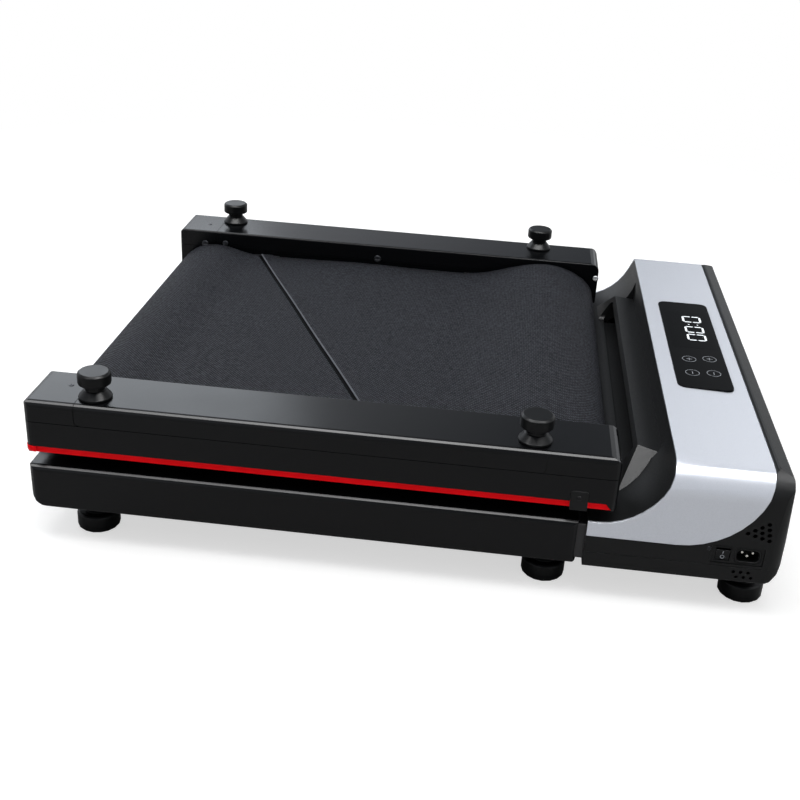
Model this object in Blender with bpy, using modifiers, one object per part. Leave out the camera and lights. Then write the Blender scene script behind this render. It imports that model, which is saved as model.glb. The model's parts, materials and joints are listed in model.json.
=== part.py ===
"""Folding treadmill, modelled folded: the rear half lies upside down on the front half.

The frame is in metres. +X runs from the fold towards the motor hood, +Y is the walker's
left, +Z is up, and the origin is on the floor in the middle of the folded outline.
A "reach" is a distance along X from the fold axis. A "depth" is a distance from the
level of the fold axis, down in the front half and up in the rear half.
"""
import math

import bmesh
import bpy
from mathutils import Matrix, Vector

# Fits
GAP = 0.0003                # left between pieces that touch
PLAY = 0.0010               # left round a piece that passes through a wall
SEAM = 0.0005               # visible joint between two covers
SKIN = 0.00003              # keeps the faces of two outlines that share a form apart

# Fold
HINGE_Z = 0.08195           # height of the fold axis over the floor
HALF_GAP = 0.00685          # fold axis to the face of either rail
KNUCKLE_R = 0.0063
HINGE_PIN_R = 0.0030
PIN_HEAD_R = 0.0048
PIN_HEAD_T = 0.0018
EAR_T = 0.0048              # thickness of each hinge ear
EAR_INSET = 0.0098          # rail's inner face to the inner face of the rear ears
EAR_LEG = 0.060             # length of an ear's leg along its tube
EAR_LEG_H = 0.016
EAR_NECK_W = 0.0070

# Overall
BELT_W = 0.410
BELT_SIDE = 0.006           # belt's edge to a rail
RAIL_W = 0.064
HALF_WIDTH = BELT_W / 2 + BELT_SIDE + RAIL_W
RAIL_Y = HALF_WIDTH - RAIL_W
EAR_Y = RAIL_Y + EAR_INSET
FRONT_RAIL_END = 0.4881
HOOD_GAP = 0.0059           # rail end to hood
HOOD_L = 0.1682
HOOD_START = FRONT_RAIL_END + HOOD_GAP
NOSE_REACH = HOOD_START + HOOD_L
HINGE_X = -(NOSE_REACH - KNUCKLE_R) / 2

# Side rails
RAIL_WALL = 0.0025
RAIL_START = 0.0015         # reach of both halves' rail ends at the fold
FRONT_RAIL_H = 0.0414
FRONT_RAIL_CURL = 0.017     # radius of the lower corner at the fold
REAR_RAIL_H = 0.0500
REAR_OVERHANG = 0.0284      # rear rail's end past the front rail's
REAR_RAIL_END = FRONT_RAIL_END + REAR_OVERHANG
REAR_END_ROUND = 0.010      # radius of the raised end of the rear rail
RAIL_EDGE = 0.0055          # outer top edge of the rear rail
RAIL_EDGE_SMALL = 0.0022
RAIL_CORNER = 0.0075        # outer vertical corners
RAIL_SPLIT = 0.0302         # rail face to the joint between skirt and cover
CAP_SEAM = 0.0475           # reach of the joint between hinge cap and cover
CAP_SEAM_R = 0.0045
END_CAP_L = 0.0630
END_SEAM = REAR_RAIL_END - END_CAP_L
TUBE_WALL = 0.0020

# Red accent stripe and its clip
STRIPE_H = 0.0067
STRIPE_T = 0.0017
STRIPE_INSET = 0.0015
STRIPE_START = 0.0105
STRIPE_END = REAR_RAIL_END - 2 * RAIL_WALL
STRIPE_TAPER = 0.0050
TAB_FROM_END = 0.0325
TAB_REACH = REAR_RAIL_END - TAB_FROM_END
TAB_W = 0.0150
TAB_H = 0.0185
TAB_LOW = 0.0018            # tab's lower edge under the rail's face
TAB_T = 0.0018
TAB_PROUD = 0.0006
TAB_CORNER = 0.0025
SCREW_R = 0.0022
SCREW_HEAD_T = 0.0008
SCREW_SHANK_R = 0.0012

# Rollers
ROLLER_R = 0.015
ROLLER_WALL = 0.0025
ROLLER_SHORT = 0.0020       # belt's edge past each end of a roller tube
ROLLER_HALF = BELT_W / 2 - ROLLER_SHORT
ROLLER_IN_HOOD = 0.0404     # front rail's end to the front roller's axis
FRONT_ROLLER = FRONT_RAIL_END + ROLLER_IN_HOOD
REAR_ROLLER_BACK = 0.0385   # rear roller's axis to the rear rail's end
REAR_ROLLER = REAR_RAIL_END - REAR_ROLLER_BACK
AXLE_R = 0.005
BEARING_W = 0.008
RUN = 0.0003                # running clearance of a turning piece
TAKE_UP_LEAD = 0.0220       # rear roller's axis to the lug that its tension bolt pulls on
TAKE_UP_REACH = REAR_ROLLER + TAKE_UP_LEAD
TAKE_UP_T = 0.006
TAKE_UP_W = 0.0095
TAKE_UP_H = 0.016
BOLT_R = 0.0028
BOLT_HEAD_R = 0.0046
BOLT_HEAD_T = 0.0040
BOLT_TAIL = 0.008           # bolt's length past the roller's axle

# Decks
BELT_T = 0.0018
WALK_DEPTH = 0.01245        # fold level to the walking face of the belt
DECK_T = 0.009
DECK_START = 0.016
FRONT_DECK_GAP = 0.0135     # deck's end to the roller
REAR_DECK_GAP = 0.0070
FRONT_DECK_END = FRONT_ROLLER - ROLLER_R - FRONT_DECK_GAP
REAR_DECK_END = REAR_ROLLER - ROLLER_R - REAR_DECK_GAP
PAD_T = 0.0015
PAD_SIDE = 0.028
PAD_SPACING = 0.150
BAR_T = 0.006
BAR_W = 0.030
BAR_FROM_FOLD = 0.110
FRONT_BAR_BACK = 0.1000     # last bar to the deck's end
REAR_BAR_BACK = 0.0860
FRONT_BARS = (BAR_FROM_FOLD, FRONT_DECK_END - FRONT_BAR_BACK)
REAR_BARS = (BAR_FROM_FOLD, REAR_DECK_END - REAR_BAR_BACK)

# Belt loop outside the decks
FOLD_LOOP_REACH = 0.0485    # where the loop round the fold starts to bend
FOLD_LOOP_RX = 0.0465
REAR_CREST = 0.04255        # depth of the return run where the loop starts
REAR_FLAT = 0.03405         # depth of its flat middle
FLAT_START = 0.0995
CREST_LEAD = 0.0265         # slack bulge's crest to the rear roller's axis
CREST_CLIMB = 0.0970        # length of the climb up to the crest
TAIL_REACH = REAR_ROLLER - CREST_LEAD
FLAT_END = TAIL_REACH - CREST_CLIMB
TAIL_RX = 0.0600
TAIL_LEVEL = 0.01805        # depth of the bulge's furthest point
TAIL_CREST = 0.05355        # depth of the bulge's crest
TAIL_POWER = 1.85
WALK_START = 0.0085

# Feet
REAR_FOOT_IN = 0.0608       # rail's fold end to its first foot
REAR_FOOT_BACK = 0.0739     # last foot to the rail's other end
REAR_FOOT_SIDE = 0.0205     # foot's axis to the outer side
REAR_FEET = (REAR_FOOT_IN, REAR_RAIL_END - REAR_FOOT_BACK)
REAR_FOOT_Y = HALF_WIDTH - REAR_FOOT_SIDE
REAR_FOOT_R = 0.0145
REAR_FOOT_HEAD = 0.0116
REAR_NECK_R = 0.0088
NUT_R = 0.0147
NUT_TOP_R = 0.0096
NUT_H = 0.0080
NUT_FLANGE = 0.0022
FRONT_FOOT_IN = 0.0505
FRONT_FOOT_BACK = 0.0252
HOOD_FOOT_BACK = 0.0237
FRONT_FOOT_SIDE = 0.0343
FRONT_FEET = (FRONT_FOOT_IN, FRONT_RAIL_END - FRONT_FOOT_BACK)
HOOD_FOOT = NOSE_REACH - HOOD_FOOT_BACK
FRONT_FOOT_Y = HALF_WIDTH - FRONT_FOOT_SIDE
FRONT_FOOT_R = 0.0194
FRONT_FOOT_CAP = 0.0170
FRONT_STEM_R = 0.0123
STUD_R = 0.0040
STUD_L = 0.0110
FOOT_EDGE = 0.0018

# Hood
HOOD_TOP = 0.1364
HOOD_FLOOR = 0.0315
HOOD_WALL = 0.0050
HOOD_EDGE_R = 0.0275        # long rounded edges of the hood
HOOD_PLAN_R = 0.0140        # nose corners seen from above
PAN_TOP = 0.0470
PAN_WALL = 0.0025
WING_Z = 0.0766             # top of the low wings under the folded half
WING_L = 0.0096             # flat start of the wing before it rises
SADDLE_REACH = HOOD_START + WING_L
SADDLE_RX = 0.0577
SADDLE_RZ = 0.0576
SADDLE_POWER = 1.85
CHAMFER_L = 0.0172          # nose to the chamfer's top edge
CHAMFER_LIP = 0.0042        # nose to its lower edge
CHAMFER_DROP = 0.0049
CHAMFER_REACH = NOSE_REACH - CHAMFER_L
CHAMFER_LOW = (NOSE_REACH - CHAMFER_LIP, HOOD_TOP - CHAMFER_DROP)
NOSE_BULGE_Z = 0.0560
NOSE_CURL = 0.0180
BAND_T = 0.0022
BAND_LOW = 0.0630
BAND_SWEEP_R = 0.0735       # radius of the band's rounded lower corner
BAND_BACK = 0.0192          # nose to the band's edge on top
BAND_SWEEP_REACH = NOSE_REACH - BAND_BACK - BAND_SWEEP_R
RISER_TOP = SADDLE_REACH + SADDLE_RX
RISER_STEP = 0.0013         # riser's foot before the edge of the display deck
RISER_REACH = RISER_TOP - RISER_STEP
LEDGE_Z = 0.1055
LEDGE_L = 0.0225            # crease to riser
CREASE_REACH = RISER_REACH - LEDGE_L
CREASE_Z = 0.1095
HUMP_RUN = 0.0215           # slope from the hump's foot to the crease
HUMP_FOOT = CREASE_REACH - HUMP_RUN
HUMP_SIDE = 0.0460          # hump's foot to the outer side
HUMP_SLOPE = 0.0410         # width of its sloping ends
HUMP_FOOT_HALF = HALF_WIDTH - HUMP_SIDE
HUMP_TOP_HALF = HUMP_FOOT_HALF - HUMP_SLOPE
HUMP_WALL = 0.0030
RISER_SIDE = 0.0095         # riser pocket past the crease's end
RISER_HALF = HUMP_TOP_HALF + RISER_SIDE
MOUTH_HALF = HUMP_TOP_HALF - HUMP_WALL
MOUTH_TOP = 0.1045
MOUTH_LOW = 0.0800
MOUTH_CORNER = 0.0060
GUARD_T = 0.0020
ENTRY_CLEAR = 0.0030        # over the walking face, and beside the belt

# Display
PANEL_FRONT = 0.0149        # chamfer's edge to the display
PANEL_REAR = 0.0158         # display to the edge above the riser
PANEL_L = CHAMFER_REACH - PANEL_FRONT - PANEL_REAR - RISER_TOP
PANEL_REACH = CHAMFER_REACH - PANEL_FRONT - PANEL_L / 2
PANEL_W = 0.2248
PANEL_R = 0.0080
PANEL_PROUD = 0.0002
BOARD_T = 0.0016
WINDOW_HALF = 0.0070
WINDOW_L = 0.0040
WINDOW_Y = 0.0040

# Mains side, on the walker's right
INLET_BACK = 0.0312         # nose to the middle of the inlet
INLET_REACH = NOSE_REACH - INLET_BACK
SWITCH_LEAD = 0.0210        # middle of the switch to the middle of the inlet
SWITCH_REACH = INLET_REACH - SWITCH_LEAD
PLATE_LEAD = 0.0090
PLATE_REACH = INLET_REACH - PLATE_LEAD
PLATE_L = 0.0440
TUBE_SHORT = 0.0050         # front tube's end short of the plate
FRONT_TUBE_END = PLATE_REACH - PLATE_L / 2 - TUBE_SHORT
PLATE_Z = 0.0583
PLATE_H = 0.0175
PLATE_DEEP = 0.0010
SWITCH_L = 0.0150
SWITCH_H = 0.0150
BEZEL_LIP = 0.0012
BEZEL_PROUD = 0.0004
ROCKER_TILT = 8.0           # degrees either side of the middle
ROCKER_DEEP = 0.0050
INLET_L = 0.0190
INLET_H = 0.0114
INLET_DEEP = 0.0120
INLET_WALL = 0.0015
PIN_L = 0.0085
PIN_R = 0.0012
VENT_R = 0.0020
VENT_PITCH = 0.0062
VENT_BACK = 0.0167
VENT_REACH = NOSE_REACH - VENT_BACK
VENT_ROWS = 4
VENT_Z = 0.0760
LOW_VENT_BACK = 0.0252
LOW_VENT_REACH = NOSE_REACH - LOW_VENT_BACK
LOW_VENT_Z = 0.0372
LOW_VENT_COLS = 3

# Drive
PULLEY_STEP = 0.0035        # roller tube's end to its pulley
DRIVE_Y = ROLLER_HALF + PULLEY_STEP
DRIVE_W = 0.0110
ROLLER_PULLEY_R = 0.0155
MOTOR_PULLEY_R = 0.0090
GROOVE = 0.0009
GROOVES = 4
DRIVE_BELT_T = 0.0018
MOTOR_BACK = 0.0547         # nose to the motor's axis
MOTOR_REACH = NOSE_REACH - MOTOR_BACK
MOTOR_Z = 0.0800
MOTOR_R = 0.0330
MOTOR_L = 0.1550
SHAFT_NECK = 0.0115         # motor's end to its pulley
MOTOR_Y1 = DRIVE_Y - SHAFT_NECK
MOTOR_Y0 = MOTOR_Y1 - MOTOR_L
MOTOR_SHAFT_R = 0.0040
MOUNT_L = 0.0440
MOUNT_Z = 0.0600
MOUNT_INSET = 0.0200
CONTROL_L = 0.0650
CONTROL_W = 0.1100
CONTROL_Y = -0.1050
CONTROL_H = 0.0260
FIN_COUNT = 7

SEG = 4                     # steps in a rounded corner
ROUND = 16                  # steps in a turned piece

# Places that follow from the sizes above
FRONT_RAIL_TOP = HINGE_Z - HALF_GAP
FRONT_RAIL_LOW = FRONT_RAIL_TOP - FRONT_RAIL_H
REAR_RAIL_LOW = HINGE_Z + HALF_GAP
REAR_RAIL_TOP = REAR_RAIL_LOW + REAR_RAIL_H
SPLIT_Z = REAR_RAIL_LOW + RAIL_SPLIT
REAR_FOOT_H = HINGE_Z - HALF_GAP - REAR_RAIL_H
REAR_TUBE_Y = EAR_Y + EAR_T
FRONT_EAR_Y = REAR_TUBE_Y + GAP
FRONT_TUBE_Y = FRONT_EAR_Y + EAR_T
REAR_TUBE_OUT = HALF_WIDTH - RAIL_WALL - GAP
DECK_DEPTH = WALK_DEPTH + BELT_T + GAP
PAD_DEPTH = DECK_DEPTH + DECK_T + GAP
BAR_DEPTH = PAD_DEPTH + PAD_T
AXLE_DEPTH = DECK_DEPTH + ROLLER_R
FRONT_TUBE_OUT = HALF_WIDTH - HOOD_WALL - GAP
RETURN_DEPTH = AXLE_DEPTH + ROLLER_R + GAP + BELT_T


def new_collection(name):
    group = bpy.data.collections.new(name)
    bpy.context.scene.collection.children.link(group)
    return group


for old in list(bpy.data.objects):
    bpy.data.objects.remove(old)
PARTS = new_collection("folding_treadmill")
CUTTERS = new_collection("cutters")
TO_WORLD = {
    "XY": Matrix.Identity(4),
    "XZ": Matrix(((1, 0, 0, 0), (0, 0, -1, 0), (0, 1, 0, 0), (0, 0, 0, 1))),
    "YZ": Matrix(((0, 0, 1, 0), (1, 0, 0, 0), (0, 1, 0, 0), (0, 0, 0, 1))),
}


def link(name, mesh, collection=None):
    thing = bpy.data.objects.new(name, mesh)
    (collection or PARTS).objects.link(thing)
    return thing


def outline(corners, steps=SEG):
    """Corners are (u, v, radius) in order round the shape; each is rounded to its radius."""
    points = []
    count = len(corners)
    for index, (u, v, radius) in enumerate(corners):
        here = Vector((u, v))
        if radius <= 0:
            points.append((u, v))
            continue
        to_last = (Vector(corners[index - 1][:2]) - here).normalized()
        to_next = (Vector(corners[(index + 1) % count][:2]) - here).normalized()
        half = to_last.angle(to_next) / 2
        centre = here + (to_last + to_next).normalized() * (radius / math.sin(half))
        first = here + to_last * (radius / math.tan(half)) - centre
        last = here + to_next * (radius / math.tan(half)) - centre
        turn = first.angle_signed(last)
        for step in range(steps + 1):
            angle = -turn * step / steps
            spot = centre + Matrix.Rotation(angle, 2) @ first
            points.append((spot.x, spot.y))
    return points


def rect(u0, u1, v0, v1, radius=0.0):
    return outline([(u0, v0, radius), (u1, v0, radius), (u1, v1, radius), (u0, v1, radius)])


def sweep(centre, radii, start, end, power=2.0, steps=8):
    """Points on an ellipse, or a fuller one where power is over 2, between two angles."""
    points = []
    for step in range(steps + 1):
        angle = math.radians(start + (end - start) * step / steps)
        c, s = math.cos(angle), math.sin(angle)
        u = centre[0] + radii[0] * math.copysign(abs(c) ** (2 / power), c)
        v = centre[1] + radii[1] * math.copysign(abs(s) ** (2 / power), s)
        points.append((u, v))
    return points


def prism(name, points, plane, low, high, holes=(), collection=None):
    """A flat outline given thickness. In plane XZ and XY its u is a reach; in YZ low and high are."""
    curve = bpy.data.curves.new(name, "CURVE")
    curve.dimensions = "2D"
    curve.fill_mode = "BOTH"
    curve.extrude = (high - low) / 2
    shift = HINGE_X if plane != "YZ" else 0.0
    for loop in (points, *holes):
        spline = curve.splines.new("POLY")
        spline.points.add(len(loop) - 1)
        for place, (u, v) in zip(spline.points, loop):
            place.co = (u + shift, v, 0, 1)
        spline.use_cyclic_u = True
    flat = link(name + "_outline", curve, CUTTERS)
    bpy.context.view_layer.update()
    mesh = bpy.data.meshes.new_from_object(flat.evaluated_get(bpy.context.evaluated_depsgraph_get()))
    bpy.data.objects.remove(flat)
    middle = (low + high) / 2
    lift = {"XY": (0, 0, middle), "XZ": (0, middle, 0), "YZ": (HINGE_X + middle, 0, 0)}[plane]
    mesh.transform(Matrix.Translation(lift) @ TO_WORLD[plane])
    shape = bmesh.new()
    shape.from_mesh(mesh)
    bmesh.ops.remove_doubles(shape, verts=shape.verts, dist=1e-6)
    bmesh.ops.recalc_face_normals(shape, faces=shape.faces)
    shape.to_mesh(mesh)
    shape.free()
    mesh.name = name
    return link(name, mesh, collection)


def block(name, x, y, z, collection=None):
    """A box between reaches x, widths y and heights z."""
    shape = bmesh.new()
    bmesh.ops.create_cube(shape, size=1.0)
    size = Vector((x[1] - x[0], y[1] - y[0], z[1] - z[0]))
    middle = Vector((HINGE_X + sum(x) / 2, sum(y) / 2, sum(z) / 2))
    bmesh.ops.transform(shape, matrix=Matrix.LocRotScale(middle, None, size), verts=shape.verts)
    mesh = bpy.data.meshes.new(name)
    shape.to_mesh(mesh)
    shape.free()
    return link(name, mesh, collection)


TURN_TO = {
    "Z": Matrix.Identity(4),
    "Y": Matrix.Rotation(math.radians(-90), 4, "X"),
    "X": Matrix.Rotation(math.radians(90), 4, "Y"),
    "-Z": Matrix.Rotation(math.radians(180), 4, "X"),
    "-Y": Matrix.Rotation(math.radians(90), 4, "X"),
}


def turned(name, profile, axis, place, steps=ROUND, collection=None):
    """A profile of (radius, height), outer side top to bottom, screwed round an axis at a place."""
    mesh = bpy.data.meshes.new(name)
    edges = [(i, i + 1) for i in range(len(profile) - 1)]
    if profile[0][0] > 0:
        edges.append((len(profile) - 1, 0))
    mesh.from_pydata([(r, 0, h) for r, h in profile], edges, [])
    thing = link(name, mesh, collection)
    screw = thing.modifiers.new("turn", "SCREW")
    screw.steps = steps
    screw.render_steps = steps
    screw.use_merge_vertices = True
    screw.merge_threshold = 1e-6
    reach, y, z = place
    thing.matrix_world = Matrix.Translation((HINGE_X + reach, y, z)) @ TURN_TO[axis]
    return thing


def rod(name, radius, length, axis, place, steps=ROUND, collection=None):
    """A solid cylinder that starts at its place and runs along its axis."""
    profile = [(0, length), (radius, length), (radius, 0), (0, 0)]
    return turned(name, profile, axis, place, steps, collection)


def combine(thing, other, operation):
    change = thing.modifiers.new(other.name, "BOOLEAN")
    change.operation = operation
    change.solver = "EXACT"
    change.object = other
    for home in list(other.users_collection):
        home.objects.unlink(other)
    CUTTERS.objects.link(other)
    other.hide_render = True
    other.display_type = "WIRE"
    return thing


def cut(thing, *cutters):
    for cutter in cutters:
        combine(thing, cutter, "DIFFERENCE")
    return thing


def keep(thing, *others):
    for other in others:
        combine(thing, other, "INTERSECT")
    return thing


def colour(thing, rgb, roughness, metallic=0.0, alpha=1.0):
    material = bpy.data.materials.new(thing.name)
    material.use_nodes = True
    shader = material.node_tree.nodes["Principled BSDF"]
    shader.inputs["Base Color"].default_value = (*rgb, 1)
    shader.inputs["Roughness"].default_value = roughness
    shader.inputs["Metallic"].default_value = metallic
    shader.inputs["Alpha"].default_value = alpha
    thing.data.materials.clear()
    thing.data.materials.append(material)
    return thing


def gloss_black(thing):
    return colour(thing, (0.012, 0.012, 0.014), 0.25)


def satin_black(thing):
    return colour(thing, (0.016, 0.016, 0.018), 0.45)


def silver(thing):
    return colour(thing, (0.50, 0.52, 0.55), 0.28, 0.6)


def steel(thing):
    return colour(thing, (0.55, 0.55, 0.56), 0.35, 1.0)


def black_steel(thing):
    return colour(thing, (0.02, 0.02, 0.022), 0.4, 0.3)


def belt_fabric(thing):
    return colour(thing, (0.022, 0.022, 0.025), 0.75)


def rubber(thing):
    return colour(thing, (0.014, 0.014, 0.014), 0.8)


def signal_red(thing):
    return colour(thing, (0.75, 0.004, 0.006), 0.35)


def level(half, depth):
    """World height of a depth in the front or the rear half."""
    return HINGE_Z - depth if half == "front" else HINGE_Z + depth


def span(half, near, far):
    return sorted((level(half, near), level(half, far)))


def flip(low, high, side):
    """A width range on the walker's left, side 1, or right, side -1."""
    return (low, high) if side > 0 else (-high, -low)


def foot_hole(name, reach, y, z):
    return rod(name, STUD_R + GAP, z[1] - z[0], "Z", (reach, y, z[0]), 12)


def bar_slots(half, bars, side):
    """Clearance for the cross bars through a rail's inner wall."""
    low, high = span(half, BAR_DEPTH, BAR_DEPTH + BAR_T)
    width = flip(RAIL_Y - PLAY, RAIL_Y + RAIL_WALL + PLAY, side)
    slots = []
    for number, reach in enumerate(bars):
        x = (reach - BAR_W / 2 - PLAY, reach + BAR_W / 2 + PLAY)
        slots.append(block(f"{half}_slot_{number}_{side}", x, width, (low - PLAY, high + PLAY)))
    return slots


def ear_notch(half, y, side):
    """Where a hinge ear's neck leaves its rail."""
    z = span(half, HALF_GAP - PLAY, HALF_GAP + RAIL_WALL + PLAY)
    x = (RAIL_START - PLAY, EAR_NECK_W + 2 * PLAY)
    return block(f"{half}_notch_{side}", x, flip(y - PLAY / 2, y + EAR_T + PLAY / 2, side), z)


def rail_section(side, low, high, edges):
    """YZ outline of a rail between two heights; edges are its four corner radii."""
    y0, y1 = RAIL_Y * side, HALF_WIDTH * side
    low, high = low - SKIN, high + SKIN
    inner_low, outer_low, outer_high, inner_high = edges
    return outline([(y0, low, inner_low), (y1, low, outer_low), (y1, high, outer_high),
                    (y0, high, inner_high)])


def rail_plan(side, start, end):
    y0, y1 = (RAIL_Y - SKIN) * side, (HALF_WIDTH + SKIN) * side
    start, end = start - SKIN, end + SKIN
    return outline([(start, y0, RAIL_EDGE_SMALL), (end, y0, RAIL_EDGE_SMALL),
                    (end, y1, RAIL_CORNER), (start, y1, RAIL_CORNER)])


def front_rail(name, side):
    low, high = FRONT_RAIL_LOW, FRONT_RAIL_TOP
    sides = outline([(RAIL_START, low, FRONT_RAIL_CURL), (FRONT_RAIL_END, low, RAIL_EDGE_SMALL),
                     (FRONT_RAIL_END, high, RAIL_EDGE_SMALL), (RAIL_START, high, RAIL_EDGE_SMALL)])
    rail = prism(name, sides, "XZ", *flip(RAIL_Y - PLAY, HALF_WIDTH + PLAY, side))
    edges = (RAIL_EDGE_SMALL, RAIL_EDGE_SMALL, RAIL_EDGE, RAIL_EDGE_SMALL)
    section = rail_section(side, low, high, edges)
    keep(rail, prism(name + "_section", section, "YZ", RAIL_START - PLAY, FRONT_RAIL_END + PLAY))
    plan = rail_plan(side, RAIL_START, FRONT_RAIL_END)
    keep(rail, prism(name + "_plan", plan, "XY", low - PLAY, high + PLAY))
    inside = outline([(RAIL_START + RAIL_WALL, low + RAIL_WALL, FRONT_RAIL_CURL - RAIL_WALL),
                      (FRONT_RAIL_END + PLAY, low + RAIL_WALL, 0),
                      (FRONT_RAIL_END + PLAY, high - RAIL_WALL, 0),
                      (RAIL_START + RAIL_WALL, high - RAIL_WALL, 0)])
    hollow = prism(name + "_inside", inside, "XZ",
                   *flip(RAIL_Y + RAIL_WALL, HALF_WIDTH - RAIL_WALL, side))
    cut(rail, hollow, ear_notch("front", FRONT_EAR_Y, side), *bar_slots("front", FRONT_BARS, side))
    for number, reach in enumerate(FRONT_FEET):
        z = (low - PLAY, low + RAIL_WALL + PLAY)
        cut(rail, foot_hole(f"{name}_foot_{number}", reach, side * FRONT_FOOT_Y, z))
    return gloss_black(rail)


def rear_elevation(start, end):
    low, high = REAR_RAIL_LOW, REAR_RAIL_TOP
    return outline([(start, low, RAIL_EDGE_SMALL), (end, low, RAIL_EDGE_SMALL),
                    (end, high, REAR_END_ROUND), (start, high, RAIL_EDGE)])


def rear_rail(name, side, keep_outline):
    """The part of the rear rail's outer form inside an XZ outline."""
    low, high = REAR_RAIL_LOW, REAR_RAIL_TOP
    rail = prism(name, rear_elevation(RAIL_START, REAR_RAIL_END), "XZ",
                 *flip(RAIL_Y - PLAY, HALF_WIDTH + PLAY, side))
    edges = (RAIL_EDGE_SMALL, RAIL_EDGE_SMALL, RAIL_EDGE, RAIL_EDGE_SMALL)
    section = rail_section(side, low, high, edges)
    keep(rail, prism(name + "_section", section, "YZ", RAIL_START - PLAY, REAR_RAIL_END + PLAY))
    plan = rail_plan(side, RAIL_START, REAR_RAIL_END)
    keep(rail, prism(name + "_plan", plan, "XY", low - PLAY, high + PLAY))
    wide = flip(RAIL_Y - 2 * PLAY, HALF_WIDTH + 2 * PLAY, side)
    keep(rail, prism(name + "_part", keep_outline, "XZ", *wide))
    x = (RAIL_START + RAIL_WALL, REAR_RAIL_END - RAIL_WALL)
    z = (low + RAIL_WALL, high - RAIL_WALL)
    cut(rail, block(name + "_inside", x, flip(RAIL_Y + RAIL_WALL, HALF_WIDTH - RAIL_WALL, side), z))
    return rail


def rear_cover(name, side):
    low, high = SPLIT_Z + SEAM / 2, REAR_RAIL_TOP + PLAY
    start, end = CAP_SEAM + SEAM / 2, REAR_RAIL_END + PLAY
    part = outline([(start, low, CAP_SEAM_R), (end, low, 0), (end, high, 0), (start, high, 0)])
    cover = rear_rail(name, side, part)
    shallow = HALF_WIDTH - SEAM
    groove = [(END_SEAM + SEAM / 2, high)] + seam_foot(END_SEAM, -1)[:-1]
    groove += [(u - SEAM, v) for u, v in groove[::-1]]
    cut(cover, prism(name + "_seam", groove, "XZ", *flip(shallow, HALF_WIDTH + PLAY, side)))
    for number, reach in enumerate(REAR_FEET):
        z = (REAR_RAIL_TOP - RAIL_WALL - PLAY, REAR_RAIL_TOP + PLAY)
        cut(cover, foot_hole(f"{name}_foot_{number}", reach, side * REAR_FOOT_Y, z))
    return gloss_black(cover)


def seam_foot(reach, toward):
    """Cap outline points round the cover's rounded lower corner."""
    low = SPLIT_Z + SEAM / 2
    radius = CAP_SEAM_R + SEAM
    centre = (reach + toward * (SEAM / 2 + CAP_SEAM_R), low + CAP_SEAM_R)
    start, end = (180, 235) if toward > 0 else (0, -55)
    curl = sweep(centre, (radius, radius), start, end, steps=SEG)
    return curl + [(curl[-1][0], low)]


def hinge_cap(name, side):
    low, high = SPLIT_Z + SEAM / 2, REAR_RAIL_TOP + PLAY
    part = [(0, low), (0, high), (CAP_SEAM - SEAM / 2, high)] + seam_foot(CAP_SEAM, 1)
    cap = rear_rail(name, side, part)
    return gloss_black(cap)


def rear_skirt(name, side):
    low, high = REAR_RAIL_LOW, SPLIT_Z - SEAM / 2
    skirt = rear_rail(name, side, rect(0, REAR_RAIL_END + PLAY, low - PLAY, high))
    bottom = HALF_WIDTH - STRIPE_INSET - STRIPE_T - GAP
    run = STRIPE_TAPER / STRIPE_H
    groove = [(STRIPE_START - GAP, low - PLAY), (STRIPE_END + 2 * GAP + PLAY * run, low - PLAY),
              (STRIPE_END - STRIPE_TAPER + 2 * GAP, low + STRIPE_H),
              (STRIPE_START - GAP, low + STRIPE_H)]
    cut(skirt, prism(name + "_groove", groove, "XZ", *flip(bottom, HALF_WIDTH + PLAY, side)))
    tab = prism(name + "_tab_seat", tab_outline(GAP), "XZ",
                *flip(HALF_WIDTH + TAB_PROUD - TAB_T - GAP, HALF_WIDTH + PLAY, side))
    z = level("rear", AXLE_DEPTH)
    bolt = rod(name + "_bolt", BOLT_HEAD_R + PLAY, 4 * RAIL_WALL, "X",
               (REAR_RAIL_END - 2 * RAIL_WALL, side * take_up_y(), z), 12)
    axle = block(name + "_axle", (REAR_ROLLER - 2 * AXLE_R, REAR_ROLLER + 2 * AXLE_R),
                 flip(RAIL_Y - PLAY, RAIL_Y + RAIL_WALL + PLAY, side),
                 (z - AXLE_R - PLAY, z + AXLE_R + PLAY))
    cut(skirt, tab, bolt, axle, ear_notch("rear", EAR_Y, side), *bar_slots("rear", REAR_BARS, side))
    return gloss_black(skirt)


def tab_outline(margin=0.0):
    low = REAR_RAIL_LOW - TAB_LOW - margin
    high = REAR_RAIL_LOW - TAB_LOW + TAB_H + margin
    start, end = TAB_REACH - TAB_W / 2 - margin, TAB_REACH + TAB_W / 2 + margin
    return outline([(start, low, 0.0008), (end, low, 0.0008), (end, high, TAB_CORNER),
                    (start, high, TAB_CORNER)])


def take_up_y():
    return REAR_TUBE_Y - GAP - TAKE_UP_W / 2


def accent_stripe(name, side):
    outer = HALF_WIDTH - STRIPE_INSET
    low = REAR_RAIL_LOW + GAP
    shape = outline([(STRIPE_START, low, 0), (STRIPE_END, low, 0),
                     (STRIPE_END - STRIPE_TAPER, low + STRIPE_H - GAP, 0),
                     (STRIPE_START, low + STRIPE_H - GAP, 0)])
    return signal_red(prism(name, shape, "XZ", *flip(outer - STRIPE_T, outer, side)))


def clip_tab(name, side):
    """Clip over the stripe, with the head of its screw."""
    outer = HALF_WIDTH + TAB_PROUD
    tab = prism(name, tab_outline(), "XZ", *flip(outer - TAB_T, outer, side))
    head = [(0, SCREW_HEAD_T), (SCREW_R * 0.8, SCREW_HEAD_T), (SCREW_R, SCREW_HEAD_T * 0.5),
            (SCREW_R, -TAB_T / 2), (0, -TAB_T / 2)]
    seat = (TAB_REACH, side * outer, REAR_RAIL_LOW + TAB_H * 0.55)
    combine(tab, turned(name + "_screw", head, "Y" if side > 0 else "-Y", seat, 10), "UNION")
    return satin_black(tab)


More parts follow.
